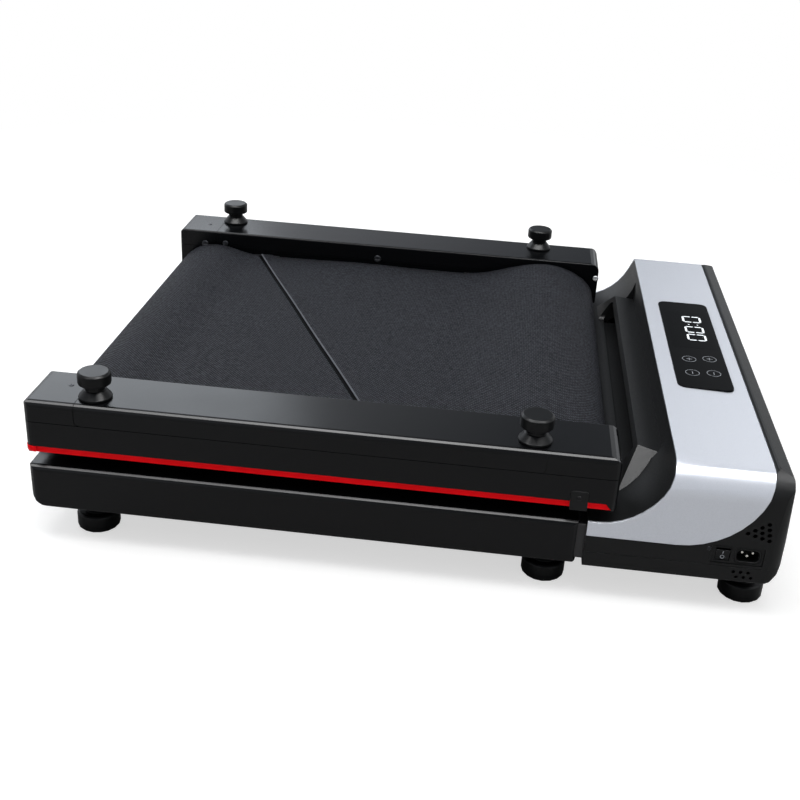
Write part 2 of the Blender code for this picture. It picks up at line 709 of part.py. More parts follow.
def side_tube(name, half, side):
    """Steel tube inside a rail, with its hinge ear and, on the rear half, its take-up lug."""
    if half == "front":
        start, end = RAIL_START + FRONT_RAIL_CURL, FRONT_TUBE_END
        y_in, y_out, feet, foot_y = FRONT_TUBE_Y, FRONT_TUBE_OUT, FRONT_FEET, FRONT_FOOT_Y
        low, high = FRONT_RAIL_LOW + RAIL_WALL + GAP, WING_Z - HOOD_WALL - 2 * GAP
        foot_z = (low - PLAY, low + TUBE_WALL + PLAY)
    else:
        start, end = RAIL_START + RAIL_WALL + 2 * GAP, REAR_RAIL_END - RAIL_WALL - 2 * GAP
        y_in, y_out, feet, foot_y = REAR_TUBE_Y, REAR_TUBE_OUT, REAR_FEET, REAR_FOOT_Y
        low, high = REAR_RAIL_LOW + STRIPE_H + 2 * RAIL_WALL, REAR_RAIL_TOP - RAIL_WALL - GAP
        foot_z = (high - TUBE_WALL - PLAY, high + PLAY)
    tube = block(name, (start, end), flip(y_in, y_out, side), (low, high))
    hollow = block(name + "_bore", (start - PLAY, end + PLAY),
                   flip(y_in + TUBE_WALL, y_out - TUBE_WALL, side), (low + TUBE_WALL, high - TUBE_WALL))
    cut(tube, hollow)
    for number, reach in enumerate(feet):
        cut(tube, foot_hole(f"{name}_foot_{number}", reach, side * foot_y, foot_z))
    ear(tube, half, y_in - EAR_T, side)
    if half == "rear":
        z = level("rear", AXLE_DEPTH)
        y = flip(y_in - TAKE_UP_W, y_in + TUBE_WALL * 0.4, side)
        lug = block(name + "_lug", (TAKE_UP_REACH, TAKE_UP_REACH + TAKE_UP_T), y,
                    (z - TAKE_UP_H / 2, z + TAKE_UP_H / 2))
        combine(tube, lug, "UNION")
        cut(tube, rod(name + "_lug_hole", BOLT_R + GAP, TAKE_UP_T + 2 * PLAY, "X",
                      (TAKE_UP_REACH - PLAY, side * take_up_y(), z), 12))
    return black_steel(tube)


def cross_bar(name, half, reach, tube_y):
    """Flat bar between the side tubes, with the rubber pads that carry the deck."""
    wide = tube_y - GAP
    bar = block(name, (reach - BAR_W / 2, reach + BAR_W / 2), (-wide, wide),
                span(half, BAR_DEPTH, BAR_DEPTH + BAR_T))
    side = PAD_SIDE / 2
    for y in (-PAD_SPACING, 0.0, PAD_SPACING):
        pad = block(f"{name}_pad_{y}", (reach - side, reach + side), (y - side, y + side),
                    span(half, PAD_DEPTH, BAR_DEPTH + BAR_T / 2))
        combine(bar, pad, "UNION")
    return black_steel(bar)


def deck(name, half, end):
    z = span(half, DECK_DEPTH, DECK_DEPTH + DECK_T)
    board = block(name, (DECK_START, end), (-BELT_W / 2, BELT_W / 2), z)
    return colour(board, (0.09, 0.065, 0.045), 0.6)


def sheet_of(name, path, thickness, half_width):
    """A strip of belt: an outer path given thickness on its left-hand side."""
    inner = []
    for index, (u, v) in enumerate(path):
        before = Vector(path[max(index - 1, 0)])
        after = Vector(path[min(index + 1, len(path) - 1)])
        along = (after - before).normalized()
        inner.append((u - along.y * thickness, v + along.x * thickness))
    return belt_fabric(prism(name, path + inner[::-1], "XZ", -half_width, half_width))


def fold_loop(half):
    """Quarter of the slack loop round the fold, from the half's return run to the fold level."""
    crest = REAR_CREST if half == "rear" else RETURN_DEPTH
    path = []
    for u, v in sweep((FOLD_LOOP_REACH - 2 * GAP, 0), (FOLD_LOOP_RX, crest), 180, 90, steps=8):
        path.append((u, level(half, max(v, PLAY))))
    return path


def rear_return_path():
    """Return run of the rear half from the fold loop to the crest of the slack bulge."""
    path = []
    ramp = (FLAT_START - FOLD_LOOP_REACH)
    for step in range(5):
        ease = (1 + math.cos(math.pi * step / 4)) / 2
        depth = REAR_FLAT + (REAR_CREST - REAR_FLAT) * ease
        path.append((FOLD_LOOP_REACH + ramp * step / 4, level("rear", depth)))
    climb = TAIL_REACH - FLAT_END
    for step in range(7):
        ease = (1 - math.cos(math.pi * step / 6)) / 2
        depth = REAR_FLAT + (TAIL_CREST - REAR_FLAT) * ease
        path.append((FLAT_END + climb * step / 6, level("rear", depth)))
    return path


def rear_tail_path():
    """Slack bulge of the belt round the rear roller, from its crest to the walking run."""
    centre = (TAIL_REACH, HINGE_Z + TAIL_LEVEL)
    path = sweep(centre, (TAIL_RX, TAIL_CREST - TAIL_LEVEL), 90, 0, TAIL_POWER, 10)
    foot = TAIL_LEVEL - WALK_DEPTH
    path += sweep((REAR_ROLLER - ROLLER_R, centre[1]), (path[-1][0] - REAR_ROLLER + ROLLER_R, foot),
                  0, -90, 2.6, 6)[1:]
    return path


def belts():
    half_width = BELT_W / 2
    front_end = FRONT_ROLLER - GAP
    walk = level("front", WALK_DEPTH)
    sheet_of("belt_front_walk", [(front_end, walk), (WALK_START, walk)], BELT_T, half_width)
    radius = ROLLER_R + GAP + BELT_T
    nose = sweep((FRONT_ROLLER, level("front", AXLE_DEPTH)), (radius, radius), -90, 90, steps=14)
    low = level("front", RETURN_DEPTH)
    sheet_of("belt_front_return", [(FOLD_LOOP_REACH, low)] + nose, BELT_T, half_width)
    sheet_of("belt_front_fold", fold_loop("front"), BELT_T, half_width)
    tail = rear_tail_path()
    walk = level("rear", WALK_DEPTH)
    sheet_of("belt_rear_walk", [(WALK_START, walk), (tail[-1][0] - GAP, walk)], BELT_T, half_width)
    sheet_of("belt_rear_return", (rear_return_path()[:-1] + tail)[::-1], BELT_T, half_width)
    sheet_of("belt_rear_fold", fold_loop("rear")[::-1], BELT_T, half_width)


def roller(half, reach):
    """Roller with its end bearings; the front one carries the driven pulley."""
    length = 2 * ROLLER_HALF
    bore, hub = ROLLER_R - ROLLER_WALL, AXLE_R + RUN
    rim = [(ROLLER_R, length)]
    if half == "front":
        tip = DRIVE_Y + DRIVE_W + ROLLER_HALF
        rim = [(ROLLER_PULLEY_R, tip)] + grooves(ROLLER_PULLEY_R, tip) \
            + [(ROLLER_PULLEY_R, tip - DRIVE_W), (ROLLER_R, tip - DRIVE_W)]
    profile = rim + [(ROLLER_R, 0), (hub, 0), (hub, BEARING_W), (bore, BEARING_W),
                     (bore, length - BEARING_W), (hub, length - BEARING_W), (hub, rim[0][1])]
    return steel(turned(f"{half}_roller_tube", profile, "Y",
                        (reach, -ROLLER_HALF, level(half, AXLE_DEPTH))))


def grooves(radius, top):
    """V grooves of a ribbed pulley whose rim ends at a height."""
    pitch = DRIVE_W / (GROOVES + 1)
    cuts = []
    for number in range(GROOVES):
        middle = top - pitch * (number + 1)
        cuts += [(radius, middle + GROOVE), (radius - GROOVE, middle), (radius, middle - GROOVE)]
    return cuts


def roller_axle(half, reach, tube_y):
    reach_y = tube_y - GAP
    z = level(half, AXLE_DEPTH)
    axle = rod(f"{half}_roller_axle", AXLE_R, 2 * reach_y, "Y", (reach, -reach_y, z))
    if half == "rear":
        for side in (1, -1):
            hole = rod(f"axle_hole_{side}", BOLT_R + GAP, 4 * AXLE_R, "X",
                       (reach - 2 * AXLE_R, side * take_up_y(), z), 12)
            cut(axle, hole)
    return steel(axle)


def drive():
    start = MOTOR_Y0 - 0.006
    end = DRIVE_Y + DRIVE_W
    rim = [(MOTOR_PULLEY_R, end - start)] + grooves(MOTOR_PULLEY_R, end - start)
    profile = [(0, end - start)] + rim + [(MOTOR_PULLEY_R, DRIVE_Y - start),
                                          (MOTOR_SHAFT_R, DRIVE_Y - start), (MOTOR_SHAFT_R, 0), (0, 0)]
    steel(turned("motor_shaft", profile, "Y", (MOTOR_REACH, start, MOTOR_Z)))
    lip = 0.004
    bore = MOTOR_SHAFT_R + RUN
    length = MOTOR_Y1 - MOTOR_Y0
    can = [(MOTOR_R - lip, length), (MOTOR_R, length - lip), (MOTOR_R, lip), (MOTOR_R - lip, 0),
           (bore, 0), (bore, length)]
    black_steel(turned("motor_can", can, "Y", (MOTOR_REACH, MOTOR_Y0, MOTOR_Z), 28))
    loop = belt_loop(GAP)
    outer = belt_loop(GAP + DRIVE_BELT_T)
    rubber(prism("drive_belt", outer, "XZ", DRIVE_Y + GAP, DRIVE_Y + DRIVE_W - GAP, [loop]))


def motor_cradle(pan):
    """Cradle moulded on the base for the motor."""
    y = (MOTOR_Y0 + MOUNT_INSET, MOTOR_Y1 - MOUNT_INSET)
    mount = block("motor_cradle", (MOTOR_REACH - MOUNT_L / 2, MOTOR_REACH + MOUNT_L / 2), y,
                  (HOOD_FLOOR + PAN_WALL / 2, MOUNT_Z))
    combine(pan, mount, "UNION")
    cut(pan, rod("mount_seat", MOTOR_R + GAP, y[1] - y[0] + 2 * PLAY, "Y",
                 (MOTOR_REACH, y[0] - PLAY, MOTOR_Z), 28))


def belt_loop(margin):
    """Open belt round the two drive pulleys, a margin outside their rims."""
    a = Vector((FRONT_ROLLER, level("front", AXLE_DEPTH)))
    b = Vector((MOTOR_REACH, MOTOR_Z))
    ra, rb = ROLLER_PULLEY_R + margin, MOTOR_PULLEY_R + margin
    line = math.degrees(math.atan2(b.y - a.y, b.x - a.x))
    lean = math.degrees(math.asin((ra - rb) / (b - a).length))
    upper, lower = line + 90 - lean, line - 90 + lean
    motor_side = sweep(b, (rb, rb), lower, upper, steps=10)
    roller_side = sweep(a, (ra, ra), upper, lower + 360, steps=14)
    return motor_side + roller_side


def saddle(margin=0.0):
    """Concave curve from the low wing up to the display deck, a margin inside the hood."""
    centre = (SADDLE_REACH, WING_Z + SADDLE_RZ)
    radii = (SADDLE_RX + margin, SADDLE_RZ + margin)
    return sweep(centre, radii, 270, 360, SADDLE_POWER, 9)


def hood_elevation(margin=0.0):
    low, high = HOOD_FLOOR + margin, HOOD_TOP - margin
    corners = [(NOSE_REACH - 0.0170, low, 0), (NOSE_REACH - 0.0095, low + 0.0030, 0),
               (NOSE_REACH - margin - 0.0030, low + 0.0100, 0),
               (NOSE_REACH - margin, NOSE_BULGE_Z - 0.0050, 0),
               (NOSE_REACH - margin - 0.0004, NOSE_BULGE_Z + 0.0060, 0),
               (CHAMFER_LOW[0] - margin, CHAMFER_LOW[1] - margin, 0.0025),
               (CHAMFER_REACH - margin / 2, high, 0.0015)]
    nose = outline(corners, 3)
    return [(HOOD_START + margin, low)] + nose + [(RISER_TOP + margin, high)] \
        + saddle(margin)[::-1] + [(HOOD_START + margin, WING_Z - margin)]


def hood_section(margin=0.0):
    half = HALF_WIDTH - margin
    low, high = HOOD_FLOOR + margin - SKIN, HOOD_TOP - margin + SKIN
    edge = HOOD_EDGE_R - margin
    return outline([(-half, low, 0.003), (half, low, 0.003), (half, high, edge), (-half, high, edge)], 6)


def hood_plan(margin=0.0):
    half = HALF_WIDTH - margin + SKIN
    start, end = HOOD_START - 2 * PLAY + margin, NOSE_REACH + SKIN - margin
    corner = HOOD_PLAN_R - margin
    return outline([(start, -half, 0), (end, -half, corner), (end, half, corner), (start, half, 0)])


def hood_form(name, margin=0.0):
    """The outer form of the hood and its base together, or the same form a margin smaller."""
    form = prism(name, hood_elevation(margin), "XZ", -HALF_WIDTH - PLAY, HALF_WIDTH + PLAY)
    keep(form, prism(name + "_section", hood_section(margin), "YZ", HOOD_START - PLAY, NOSE_REACH + PLAY))
    keep(form, prism(name + "_plan", hood_plan(margin), "XY", HOOD_FLOOR - PLAY, HOOD_TOP + PLAY))
    return form


def under_band(name, depth):
    """Everything more than a depth under the hood's top and sides."""
    return prism(name, hood_section(depth), "YZ", HOOD_START - 3 * PLAY, NOSE_REACH + PLAY)


def band_outline(margin=0.0):
    """XZ outline of the silver band as seen from the side."""
    radius = BAND_SWEEP_R + margin
    start = HOOD_START - (2 * PLAY if margin else 0)
    top = HOOD_TOP + PLAY
    lower = [(start, BAND_LOW - margin)]
    lower += sweep((BAND_SWEEP_REACH, BAND_LOW + BAND_SWEEP_R), (radius, radius), 270, 360, steps=10)
    upper = [(BAND_SWEEP_REACH + radius, top), (RISER_TOP - 3 * margin, top)]
    return lower + upper + saddle(-3 * margin)[::-1] + [(start, WING_Z + 3 * margin)]


def hump(margin=0.0):
    """Raised block over the front roller, with sloping ends."""
    body = prism(f"hump_{margin}", [
        (HUMP_FOOT + margin, WING_Z - HOOD_WALL), (CREASE_REACH + margin / 2, CREASE_Z - margin),
        (RISER_REACH + PLAY, LEDGE_Z - margin), (RISER_REACH + PLAY, WING_Z - HOOD_WALL)],
        "XZ", -HUMP_FOOT_HALF, HUMP_FOOT_HALF)
    top, foot = HUMP_TOP_HALF - margin, HUMP_FOOT_HALF - margin
    low = WING_Z - 2 * HOOD_WALL
    ends = prism(f"hump_ends_{margin}", [(-foot, low), (foot, low), (foot, WING_Z), (top, CREASE_Z),
                                        (-top, CREASE_Z), (-foot, WING_Z)],
                 "YZ", HUMP_FOOT - PLAY, RISER_REACH + 2 * PLAY)
    return keep(body, ends)


def vent_holes(name, side):
    """Triangle of air holes in the hood's side wall, in staggered rows."""
    holes = []
    for row in range(VENT_ROWS):
        for number in range(VENT_ROWS - row):
            reach = VENT_REACH - number * VENT_PITCH - row * VENT_PITCH * 0.15
            z = VENT_Z + row * VENT_PITCH * 0.85 + number * VENT_PITCH * 0.28
            hole = rod(f"{name}_{row}_{number}", VENT_R, 3 * HOOD_WALL, "Y",
                       (reach, side * HALF_WIDTH - 1.5 * HOOD_WALL, z), 8)
            holes.append(hole)
    return holes


def low_vents(name, side):
    holes = []
    for row in range(2):
        for number in range(LOW_VENT_COLS):
            reach = LOW_VENT_REACH - (number + row / 2) * VENT_PITCH
            hole = rod(f"{name}_{row}_{number}", VENT_R * 0.8, 3 * HOOD_WALL, "Y",
                       (reach, side * HALF_WIDTH - 1.5 * HOOD_WALL, LOW_VENT_Z + row * VENT_PITCH * 0.8), 8)
            holes.append(hole)
    return holes


def hood_room():
    """The hollow of the hood over the front roller and round the motor."""
    wall = HOOD_WALL
    top = HOOD_TOP - wall
    points = [(HOOD_START + PAN_WALL, HOOD_FLOOR - PLAY), (HOOD_START + PAN_WALL, WING_Z - wall),
              (HUMP_FOOT + 0.007, WING_Z - wall), (RISER_REACH + wall, LEDGE_Z - wall),
              (RISER_TOP + wall, top), (CHAMFER_REACH - wall / 2, top),
              (CHAMFER_LOW[0] - wall, CHAMFER_LOW[1] - wall / 2),
              (NOSE_REACH - wall, NOSE_BULGE_Z), (NOSE_REACH - wall, HOOD_FLOOR - PLAY)]
    half = HALF_WIDTH - wall
    room = prism("hood_room", points, "XZ", -half, half)
    edge = HOOD_EDGE_R - wall
    section = outline([(-half, HOOD_FLOOR - 2 * PLAY, 0), (half, HOOD_FLOOR - 2 * PLAY, 0),
                       (half, top, edge), (-half, top, edge)], 6)
    keep(room, prism("hood_room_section", section, "YZ", HOOD_START, NOSE_REACH))
    plan = outline([(HOOD_START, -half, 0), (NOSE_REACH - wall, -half, HOOD_PLAN_R - wall),
                    (NOSE_REACH - wall, half, HOOD_PLAN_R - wall), (HOOD_START, half, 0)])
    return keep(room, prism("hood_room_plan", plan, "XY", HOOD_FLOOR - 2 * PLAY, HOOD_TOP))


def entry_opening(name):
    """Belt and side tubes pass through the hood's face towards the rails."""
    half = FRONT_TUBE_OUT + PLAY
    z = (HINGE_Z - RETURN_DEPTH - 0.0010, level("front", WALK_DEPTH) + ENTRY_CLEAR)
    return block(name, (HOOD_START - 2 * PLAY, HOOD_START + 4 * PLAY), (-half, half), z)


def hood():
    shell = hood_form("hood_shell")
    riser = [(CREASE_REACH - 0.006, LEDGE_Z - 0.003), (RISER_REACH, LEDGE_Z - 0.003),
             (RISER_REACH + 0.0005, HOOD_TOP + PLAY), (CREASE_REACH - 0.006, HOOD_TOP + PLAY)]
    cut(shell, prism("riser_pocket", riser, "XZ", -RISER_HALF, RISER_HALF))
    combine(shell, hump(), "UNION")
    seat = prism("band_seat", band_outline(GAP), "XZ", -HALF_WIDTH - PLAY, HALF_WIDTH + PLAY)
    cut(seat, under_band("band_inner", BAND_T + GAP))
    cut(shell, seat)
    panel = panel_outline(GAP)
    cut(shell, prism("panel_seat", panel, "XY", HOOD_TOP - BAND_T - 2 * GAP, HOOD_TOP + PLAY))
    cut(shell, hood_room())
    room = prism("hump_room", [
        (HUMP_FOOT + 0.0052, WING_Z - 2 * HOOD_WALL), (CREASE_REACH + 0.0012, CREASE_Z - HUMP_WALL),
        (RISER_REACH - HUMP_WALL, LEDGE_Z - HUMP_WALL), (RISER_REACH - HUMP_WALL, WING_Z - 2 * HOOD_WALL)],
        "XZ", -MOUTH_HALF - 0.001, MOUTH_HALF + 0.001)
    cut(shell, room)
    mouth = rect(-MOUTH_HALF, MOUTH_HALF, MOUTH_LOW, MOUTH_TOP, MOUTH_CORNER)
    cut(shell, prism("hump_mouth", mouth, "YZ", HUMP_FOOT - 0.01, CREASE_REACH - 0.002))
    below = (HOOD_FLOOR - 0.01, PAN_TOP + SEAM / 2)
    wide = (-HALF_WIDTH - 0.01, HALF_WIDTH + 0.01)
    cut(shell, block("under_hood", (HOOD_START - 0.01, NOSE_REACH + 0.01), wide, below))
    cut(shell, entry_opening("hood_entry"))
    cut(shell, mains_recess("shell_mains"), window_seat("shell_window"))
    for side in (1, -1):
        cut(shell, *vent_holes(f"vent_{side}", side))
    gloss_black(shell)

    band = hood_form("silver_band")
    cut(band, under_band("band_hollow", BAND_T))
    keep(band, prism("band_shape", band_outline(), "XZ", -HALF_WIDTH - PLAY, HALF_WIDTH + PLAY))
    cut(band, prism("panel_hole", panel, "XY", HOOD_TOP - 2 * BAND_T, HOOD_TOP + PLAY))
    silver(band)

    pan = hood_form("base_pan")
    top = (PAN_TOP - SEAM / 2, HOOD_TOP + 0.01)
    cut(pan, block("over_pan", (HOOD_START - 0.01, NOSE_REACH + 0.01), wide, top))
    wall = PAN_WALL
    inside = outline([(HOOD_START + wall, HOOD_FLOOR + wall, 0), (NOSE_REACH - 0.019, HOOD_FLOOR + wall, 0),
                      (NOSE_REACH - 0.0075, HOOD_FLOOR + wall + 0.006, 0), (NOSE_REACH - 0.005, PAN_TOP, 0),
                      (HOOD_START + wall, PAN_TOP, 0)])
    half = HALF_WIDTH - HOOD_WALL
    cut(pan, prism("pan_inside", inside, "XZ", -half, half), entry_opening("pan_entry"))
    for side in (1, -1):
        seat = (HOOD_FOOT, side * FRONT_FOOT_Y)
        boss = rod(f"pan_boss_{side}", 2 * STUD_R, STUD_L - PAN_WALL / 2, "Z",
                   (*seat, HOOD_FLOOR + PAN_WALL / 2), 12)
        combine(pan, boss, "UNION")
        cut(pan, foot_hole(f"pan_foot_{side}", *seat, (HOOD_FLOOR - PLAY, HOOD_FLOOR + STUD_L + PLAY)))
        cut(pan, *low_vents(f"low_vent_{side}", side))
    motor_cradle(pan)
    satin_black(pan)

    low = level("front", WALK_DEPTH) + ENTRY_CLEAR
    clear = FRONT_ROLLER + ROLLER_R + GAP + BELT_T + ENTRY_CLEAR
    inner = RISER_REACH - HUMP_WALL - GAP
    path = [(inner - 0.0005, LEDGE_Z - HUMP_WALL - 2 * GAP), (inner - 0.0005, low + 0.010)]
    path += sweep((inner - 0.010, low + 0.010), (0.0095, 0.0085), 0, -90, steps=5)[1:]
    path += [(HUMP_FOOT + 0.012, low + 0.0015)]
    guard = sheet_of("belt_entry_guard", path[::-1], GUARD_T, MOUTH_HALF)
    satin_black(guard)


def panel_outline(margin=0.0):
    x0, x1 = PANEL_REACH - PANEL_L / 2 - margin, PANEL_REACH + PANEL_L / 2 + margin
    half = PANEL_W / 2 + margin
    return rect(x0, x1, -half, half, PANEL_R + margin)


def display():
    low = HOOD_TOP - BAND_T
    panel = prism("display_panel", panel_outline(), "XY", low, HOOD_TOP + PANEL_PROUD)
    colour(panel, (0.012, 0.013, 0.014), 0.12)
    top = HOOD_TOP - HOOD_WALL - GAP
    x = (PANEL_REACH - PANEL_L / 2, PANEL_REACH + PANEL_L / 2)
    half = PANEL_W / 2
    board = block("display_board", x, (-half, half), (top - BOARD_T, top))
    colour(board, (0.01, 0.12, 0.04), 0.5)


def window_box(name, margin, deep):
    z = CHAMFER_LOW[1] - 0.0012
    y = (WINDOW_Y - WINDOW_HALF - margin, WINDOW_Y + WINDOW_HALF + margin)
    x = (CHAMFER_LOW[0] - deep, CHAMFER_LOW[0] - 0.0006 + 3 * margin)
    return block(name, x, y, (z - WINDOW_L - margin, z + margin))


def window_seat(name):
    return window_box(name, GAP, 0.0024)


def mains_plate(margin=0.0):
    x = (PLATE_REACH - PLATE_L / 2 - margin, PLATE_REACH + PLATE_L / 2 + margin)
    z = (PLATE_Z - PLATE_H / 2 - margin, PLATE_Z + PLATE_H / 2 + margin)
    return (*x, *z)


def mains_recess(name):
    """Flat recess for the switch and inlet in the right side wall, open to the inside."""
    plate = rect(*mains_plate(GAP), 0.0015)
    return prism(name, plate, "XZ", -HALF_WIDTH - PLAY, -HALF_WIDTH + HOOD_WALL + PLAY)


def mains():
    """Switch and inlet share a plate in the right side wall."""
    face = -HALF_WIDTH + PLATE_DEEP
    back = -HALF_WIDTH + HOOD_WALL - 0.0008
    sw = rect(SWITCH_REACH - SWITCH_L / 2, SWITCH_REACH + SWITCH_L / 2,
              PLATE_Z - SWITCH_H / 2, PLATE_Z + SWITCH_H / 2, 0.001)
    mouth = rect(INLET_REACH - INLET_L / 2, INLET_REACH + INLET_L / 2,
                 PLATE_Z - INLET_H / 2, PLATE_Z + INLET_H / 2, 0.0040)
    shell_hole = rect(INLET_REACH - INLET_L / 2 - INLET_WALL - GAP, INLET_REACH + INLET_L / 2 + INLET_WALL
                      + GAP, PLATE_Z - INLET_H / 2 - INLET_WALL - GAP,
                      PLATE_Z + INLET_H / 2 + INLET_WALL + GAP, 0.005)
    plate = prism("mains_plate", rect(*mains_plate(), 0.0012), "XZ", face, back, [shell_hole])
    body = outline([(INLET_REACH - INLET_L / 2 - INLET_WALL, PLATE_Z - INLET_H / 2 - INLET_WALL, 0.0048),
                    (INLET_REACH + INLET_L / 2 + INLET_WALL, PLATE_Z - INLET_H / 2 - INLET_WALL, 0.0048),
                    (INLET_REACH + INLET_L / 2 + INLET_WALL, PLATE_Z + INLET_H / 2 + INLET_WALL, 0.0048),
                    (INLET_REACH - INLET_L / 2 - INLET_WALL, PLATE_Z + INLET_H / 2 + INLET_WALL, 0.0048)])
    inlet = prism("power_inlet", body, "XZ", face, face + INLET_DEEP + INLET_WALL)
    cut(inlet, prism("inlet_mouth", mouth, "XZ", face - PLAY, face + INLET_DEEP))
    for number, (x, z) in enumerate(((-0.0045, 0.0014), (0.0045, 0.0014), (0.0, -0.0018))):
        combine(inlet, rod(f"pin_{number}", PIN_R, PIN_L + INLET_WALL / 2, "-Y",
                           (INLET_REACH + x, face + INLET_DEEP + INLET_WALL / 2, PLATE_Z + z), 8), "UNION")
    gloss_black(inlet)

    lip = BEZEL_LIP
    hole = rect(SWITCH_REACH - SWITCH_L / 2 + lip, SWITCH_REACH + SWITCH_L / 2 - lip,
                PLATE_Z - SWITCH_H / 2 + lip, PLATE_Z + SWITCH_H / 2 - lip, 0.0006)
    combine(plate, prism("switch_bezel", sw, "XZ", face - BEZEL_PROUD, face + 2 * ROCKER_DEEP), "UNION")
    cut(plate, prism("switch_hole", hole, "XZ", face - PLAY, face + 2 * ROCKER_DEEP + PLAY))
    satin_black(plate)
    tilt = math.radians(ROCKER_TILT)
    half = SWITCH_H / 2 - lip - PLAY
    rise = half * math.tan(tilt)
    pivot = (face + ROCKER_DEEP, PLATE_Z)
    shape = [(-ROCKER_DEEP - rise + 0.0004, -half), (-ROCKER_DEEP + 0.0004, 0.0),
             (-ROCKER_DEEP - rise + 0.0004, half), (0.0015, half * 0.72), (0.0015, -half * 0.72)]
    turn = Matrix.Rotation(tilt, 2)
    shape = [tuple(turn @ Vector(p)) for p in shape]
    side = SWITCH_L / 2 - lip - RUN
    rocker = prism("power_rocker", [(pivot[0] + y, pivot[1] + z) for y, z in shape], "YZ",
                   SWITCH_REACH - side, SWITCH_REACH + side)
    return satin_black(rocker)


def electronics():
    base = HOOD_FLOOR + PAN_WALL + GAP
    x = (MOTOR_REACH - CONTROL_L / 2, MOTOR_REACH + CONTROL_L / 2)
    y = (CONTROL_Y - CONTROL_W / 2, CONTROL_Y + CONTROL_W / 2)
    box = block("motor_controller", x, y, (base, base + CONTROL_H))
    pitch = CONTROL_L / FIN_COUNT
    for number in range(FIN_COUNT - 1):
        centre = x[0] + pitch * (number + 1)
        cut(box, block(f"fin_gap_{number}", (centre - pitch / 4, centre + pitch / 4),
                       (y[0] - PLAY, y[1] + PLAY), (base + CONTROL_H / 2, base + CONTROL_H + PLAY)))
    colour(box, (0.35, 0.35, 0.36), 0.5, 0.8)
    window = window_box("remote_window", 0.0, 0.0021)
    colour(window, (0.02, 0.004, 0.006), 0.15)


def ear(tube, half, y, side):
    """Hinge ear welded to a side tube: knuckle on the fold axis, neck and leg."""
    up = 1 if half == "rear" else -1
    name = tube.name + "_ear"
    inside = HALF_GAP + RAIL_WALL + PLAY
    start = RAIL_START + RAIL_WALL + GAP
    width = flip(y, y + EAR_T + TUBE_WALL / 2, side)
    neck_y = flip(y, y + EAR_T, side)
    leg_z = sorted((HINGE_Z + up * inside, HINGE_Z + up * (inside + EAR_LEG_H)))
    if half == "rear":
        leg_z = sorted((HINGE_Z + inside, HINGE_Z + HALF_GAP + STRIPE_H + 2 * RAIL_WALL + EAR_LEG_H))
    neck_z = sorted((HINGE_Z, HINGE_Z + up * (inside + EAR_LEG_H / 2)))
    combine(tube, block(name + "_leg", (start + 2 * GAP, EAR_LEG), width, leg_z), "UNION")
    combine(tube, block(name + "_neck", (start, EAR_NECK_W + PLAY / 2), neck_y, neck_z), "UNION")
    knuckle = rod(name + "_knuckle", KNUCKLE_R, EAR_T, "Y", (0, neck_y[0], HINGE_Z), 24)
    combine(tube, knuckle, "UNION")
    bore = rod(name + "_bore", HINGE_PIN_R + RUN, EAR_T + 2 * PLAY, "Y", (0, neck_y[0] - PLAY, HINGE_Z), 16)
    cut(tube, bore)


def hinge_pin(name, side):
    start = EAR_Y - GAP - PIN_HEAD_T
    long = FRONT_EAR_Y + EAR_T + GAP + PIN_HEAD_T - start
    profile = [(0, long), (PIN_HEAD_R, long), (PIN_HEAD_R, long - PIN_HEAD_T),
               (HINGE_PIN_R, long - PIN_HEAD_T), (HINGE_PIN_R, PIN_HEAD_T),
               (PIN_HEAD_R, PIN_HEAD_T), (PIN_HEAD_R, 0), (0, 0)]
    foot = start if side > 0 else -start - long
    steel(turned(name, profile, "Y", (0, foot, HINGE_Z), 16))


def rear_foot(name, reach, side):
    """Foot of the rear half, upside down while folded, with its flanged nut."""
    head = REAR_FOOT_H - REAR_FOOT_HEAD
    edge = FOOT_EDGE
    profile = [(0, REAR_FOOT_H), (REAR_FOOT_R - edge, REAR_FOOT_H), (REAR_FOOT_R, REAR_FOOT_H - edge),
               (REAR_FOOT_R, head + edge / 2), (REAR_FOOT_R - edge / 2, head), (REAR_NECK_R, head),
               (REAR_NECK_R, NUT_H), (NUT_TOP_R, NUT_H), (NUT_R - 0.0008, NUT_FLANGE + 0.0008),
               (NUT_R, NUT_FLANGE), (NUT_R, GAP), (STUD_R, GAP), (STUD_R, -STUD_L), (0, -STUD_L)]
    return rubber(turned(name, profile, "Z", (reach, side * REAR_FOOT_Y, REAR_RAIL_TOP)))


def front_foot(name, reach, side):
    seat = HOOD_FLOOR if reach == HOOD_FOOT else FRONT_RAIL_LOW
    edge = FOOT_EDGE
    profile = [(0, seat + STUD_L), (STUD_R, seat + STUD_L), (STUD_R, seat - GAP),
               (FRONT_STEM_R, seat - GAP), (FRONT_STEM_R, FRONT_FOOT_CAP),
               (FRONT_FOOT_R - edge, FRONT_FOOT_CAP), (FRONT_FOOT_R, FRONT_FOOT_CAP - edge),
               (FRONT_FOOT_R, edge), (FRONT_FOOT_R - edge, 0), (0, 0)]
    return rubber(turned(name, profile, "Z", (reach, side * FRONT_FOOT_Y, 0)))


def take_up_bolt(name, side):
    """Bolt that pulls the rear roller's axle towards the lug on the tube."""
    start = REAR_ROLLER - AXLE_R - BOLT_TAIL
    seat = TAKE_UP_REACH + TAKE_UP_T + GAP - start
    profile = [(0, seat + BOLT_HEAD_T), (BOLT_HEAD_R, seat + BOLT_HEAD_T), (BOLT_HEAD_R, seat),
               (BOLT_R, seat), (BOLT_R, 0), (0, 0)]
    place = (start, side * take_up_y(), level("rear", AXLE_DEPTH))
    return steel(turned(name, profile, "X", place, 12))


def empty(name, reach, y, z):
    mark = bpy.data.objects.new(name, None)
    CUTTERS.objects.link(mark)
    mark.location = (HINGE_X + reach, y, z)
    return mark


